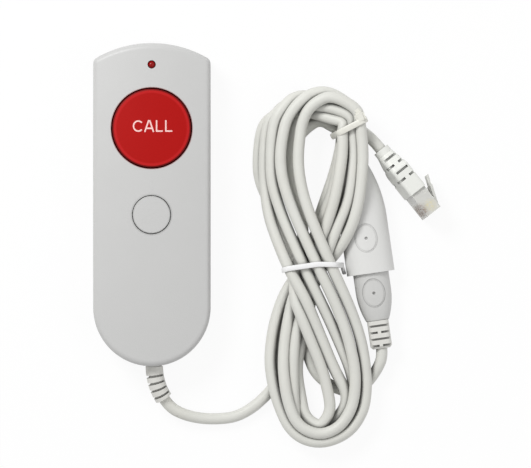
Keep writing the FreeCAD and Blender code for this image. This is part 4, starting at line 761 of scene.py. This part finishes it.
class CALLCORD_OT_leads(bpy.types.Operator):
    """Both leads, coiled in a figure of eight"""

    bl_idname = "callcord.leads"
    bl_label = "Leads"

    def execute(self, context):
        leads = settings_of(context).leads
        radius = leads.diameter / 2 / MM
        routes = [handset_lead_points(), wall_lead_points()]
        held = [(len(HANDSET_ROUTE) - 2, len(PLUG_ROUTE) - 4), (2, 4)]
        handset_points, wall_points = settled(routes, held, radius)
        jacket = cord_jacket(leads.jacket)
        handset_lead = lead_curve("handset_lead", handset_points, leads.diameter, jacket)
        wall_lead = lead_curve("wall_lead", wall_points, leads.diameter, jacket)
        lines = [line_places(handset_lead), line_places(wall_lead)]
        self.make_waist_tie(lines, leads)
        self.make_crest_tie(lines, leads)
        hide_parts("handset_cord_tail", "cord_hank", "connector_cord_tail")
        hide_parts("modular_cord_tail")
        return {"FINISHED"}

    def make_waist_tie(self, lines, leads):
        """White band about the coil's waist, its ends twisted together."""
        form = bmesh.new()
        band(form, lines, (52.8, -26.0), (75.6, -24.2), leads.diameter / 2, 0.0021, 0.0009, 0.0012, (0.0209, 0.007))
        for phase in (0, math.pi):
            path = []
            for step in range(40):
                share = step / 39
                turn = phase + share * math.tau * 2.2
                path.append(Vector((
                    0.0762 + 0.0008 * share + 0.0004 * math.cos(turn),
                    -0.0250 - 0.0026 * share,
                    0.0082 - 0.0045 * share + 0.0004 * math.sin(turn))))
            thread(form, path, 0.00042)
        tie = piece_of("waist_tie", form, tie_paper(leads.tie), "handset")
        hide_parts("middle_tie")

    def make_crest_tie(self, lines, leads):
        """Clear nylon tie about the crest's right side, with its head and cut end."""
        form = bmesh.new()
        top = band(form, lines, (72.6, 27.6), (82.4, 32.6), leads.diameter / 2, 0.0025, 0.0010, 0.0, (0.0022, 0.0045))
        turn = math.radians(26)
        block(form, (0.0832, 0.0349, top - 0.0006), turn, (0.0040, 0.0046, 0.0034), 0.0008)
        block(form, (0.0822, 0.0372, top - 0.0006), turn + 0.2, (0.0024, 0.0030, 0.0011), 0.0004)
        tie = piece_of("crest_tie", form, nylon(), "handset")
        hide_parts("top_tie")


def front_shade(finish, base):
    """Painted shade and red reflection in the gap about the call button, painted shade on the ring about the lower
    button and painted light deep in that ring's gap.
    """
    # Painted shade and red reflection: dark red in the gap about the call button.
    call_gap_shade = finish.distance_from(0, CALL_PLACE).step(0.01665, 0.01615)
    base = finish.mix(call_gap_shade * 0.85, base, linear(140, 46, 44))
    # Painted shade: a darker grey ring about the lower button.
    from_lower = finish.distance_from(0, LOWER_PLACE)
    lip = from_lower.step(0.0068, 0.0073) * from_lower.step(0.0086, 0.0080)
    base = finish.mix(lip * 0.9, base, linear(172, 172, 171))
    # Painted light: near white deep in the lower button's gap, where shade would fall.
    deep = finish.height().step(0.0196, 0.0193)
    return finish.mix(lip * deep, base, linear(252, 252, 251))


def cap_shade(finish, base):
    """Painted shade at the call button's edge and a painted highlight on its rim."""
    from_middle = finish.distance_from(0, CALL_PLACE)
    # Painted highlight: a paler red band on the rounded rim.
    rim_highlight = from_middle.step(0.0138, 0.0143) * from_middle.step(0.0154, 0.0150)
    base = finish.mix(rim_highlight * 0.55, base, linear(190, 34, 36))
    # Painted shade: dark red at the button's outer edge.
    return finish.mix(from_middle.step(0.01490, 0.01525), base, linear(120, 22, 22))


class CALLCORD_OT_handset(bpy.types.Operator):
    """Finishes of the handset's case, buttons and lamp"""

    bl_idname = "callcord.handset"
    bl_label = "Handset"

    def execute(self, context):
        handset = settings_of(context).handset
        case = moulded_plastic("case plastic", handset.case, 0.42, 0.00035, 0.00004, 0.015)
        front = moulded_plastic("front shell plastic", handset.case, 0.42, 0.00035, 0.00004, 0.015, front_shade)
        red = moulded_plastic("red plastic", handset.button, 0.46, 0.0003, 0.00003, 0.04, cap_shade)
        red.node_tree.nodes["Principled BSDF"].inputs["Specular IOR Level"].default_value = 0.12
        dress("front_shell", front)
        dress("back_shell", case)
        dress("lower_button_cap", front)
        dress("call_button_cap", red)
        lens = Finish("lamp lens", Roughness=0.18, IOR=1.5, Specular_IOR_Level=0.25)
        swirl = lens.noise(0.0012, 2.0)
        dress("indicator_lamp", lens.show(
            Base_Color=lens.mix(swirl, tinted(handset.lamp, 0.8), tinted(handset.lamp, 1.15)),
            Normal=lens.bump(swirl, 0.00003, 0.4)))
        self.make_word(handset)
        return {"FINISHED"}

    def make_word(self, handset):
        """Printed word on the call button."""
        form = bmesh.new()

        def height_at(x, y):
            return (CAP_TOP - CROWN_ACROSS + math.sqrt(CROWN_ACROSS ** 2 - x ** 2)
                    - CROWN_ALONG + math.sqrt(CROWN_ALONG ** 2 - y ** 2))

        middle_x, middle_y, wide, high, opening = LETTER_C
        arc = []
        for step in range(33):
            turn = math.radians(opening + step / 32 * (360 - 2 * opening))
            arc.append((middle_x + wide * math.cos(turn), middle_y + high * math.sin(turn)))
        width = handset.letter_stroke / MM
        for line in [arc, *LETTER_STROKES]:
            placed = [(WORD_PLACE[0] + x, WORD_PLACE[1] + y) for x, y in line]
            stroke(form, placed, width, height_at, 0.06)
        paint = moulded_plastic("word paint", handset.word, 0.5, 0.0002, 0.00001, 0.02)
        piece_of("call_word", form, paint, "call_button")


class CALLCORD_OT_fittings(bpy.types.Operator):
    """Finishes of the reliefs, the breakaway connector and the leads' ends"""

    bl_idname = "callcord.fittings"
    bl_label = "Fittings"

    def execute(self, context):
        # The last number given to moulded_plastic here is the reach of its painted shade in hollows.
        relief = moulded_plastic("relief rubber", linear(212, 211, 206), 0.5, 0.0004, 0.00003, 0.03, None, 0.0012)
        connector = moulded_plastic("connector plastic", linear(215, 215, 213), 0.42, 0.0003, 0.00003, 0.02, None, 0.0005)
        for node in ("handset_relief", "breakaway_plug_relief", "breakaway_socket_relief"):
            dress(node, relief)
        dress("breakaway_socket_shell", connector)
        dress("breakaway_plug_shell", moulded_plastic(
            "connector plug plastic", linear(199, 199, 197), 0.42, 0.0003, 0.00003, 0.02, None, 0.0005))
        jacket = bpy.data.materials["lead jacket"]
        for node in ("handset_cord_end", "breakaway_socket_cord_end", "breakaway_plug_cord_end", "modular_cord_end"):
            dress(node, jacket)
        return {"FINISHED"}


class CALLCORD_OT_modular_plug(bpy.types.Operator):
    """Finishes of the modular plug, its boot, wires and contacts"""

    bl_idname = "callcord.modular_plug"
    bl_label = "Modular plug"

    def execute(self, context):
        # The boot's last number is the reach of its painted shade in hollows.
        dress("modular_plug_boot", moulded_plastic(
            "boot plastic", linear(226, 227, 222), 0.45, 0.0004, 0.00003, 0.03, None, 0.0013))
        dress("modular_plug_body", clear_plug(linear(224, 224, 219), 0.14, 0.22))
        dress("modular_plug_contacts", metal("gold contact", linear(212, 170, 90), 0.25))
        dress("modular_plug_wires", moulded_plastic("core insulation", linear(150, 110, 60), 0.5, 0.0004, 0.00002, 0.1))
        return {"FINISHED"}


class CALLCORD_OT_inner_parts(bpy.types.Operator):
    """Finishes of the parts inside the handset and the connector"""

    bl_idname = "callcord.inner_parts"
    bl_label = "Inner parts"

    def execute(self, context):
        steel = metal("screw steel", linear(190, 190, 188), 0.3)
        for node in ("case_screws", "clamp_screws", "call_button_spring", "lamp_leads"):
            dress(node, steel)
        dress("circuit_board", moulded_plastic("board laminate", linear(38, 92, 54), 0.4, 0.0005, 0.00002, 0.08))
        black = moulded_plastic("switch plastic", linear(52, 52, 54), 0.5, 0.0004, 0.00002, 0.05)
        for node in ("call_switch_body", "lower_switch_body", "call_switch_plunger", "lower_switch_plunger",
                     "cable_header", "cord_clamp", "breakaway_socket_insert", "breakaway_plug_insert"):
            dress(node, black)
        dress("core_wires", moulded_plastic("core wires", linear(170, 120, 60), 0.5, 0.0004, 0.00002, 0.2))
        gold = bpy.data.materials["gold contact"]
        for node in ("breakaway_pins", "breakaway_contacts"):
            dress(node, gold)
        return {"FINISHED"}


class CALLCORD_PT_panel(bpy.types.Panel):
    """Lists the pieces of the call cord"""

    bl_label = "Call Cord"
    bl_idname = "CALLCORD_PT_panel"
    bl_space_type = "VIEW_3D"
    bl_region_type = "UI"
    bl_category = "Call Cord"

    def draw(self, context):
        for operator in OPERATORS:
            self.layout.operator(operator.bl_idname)


OPERATORS = (
    CALLCORD_OT_stage, CALLCORD_OT_leads, CALLCORD_OT_handset, CALLCORD_OT_fittings,
    CALLCORD_OT_modular_plug, CALLCORD_OT_inner_parts,
)
CLASSES = (LeadSettings, HandsetSettings, StageSettings, CallCordSettings, *OPERATORS, CALLCORD_PT_panel)


def register():
    for cls in CLASSES:
        bpy.utils.register_class(cls)
    bpy.types.Scene.call_cord = bpy.props.PointerProperty(type=CallCordSettings)


def unregister():
    del bpy.types.Scene.call_cord
    for cls in reversed(CLASSES):
        bpy.utils.unregister_class(cls)


def main():
    register()
    bpy.ops.callcord.stage()
    bpy.ops.callcord.leads()
    bpy.ops.callcord.handset()
    bpy.ops.callcord.fittings()
    bpy.ops.callcord.modular_plug()
    bpy.ops.callcord.inner_parts()


if __name__ == "__main__":
    main()
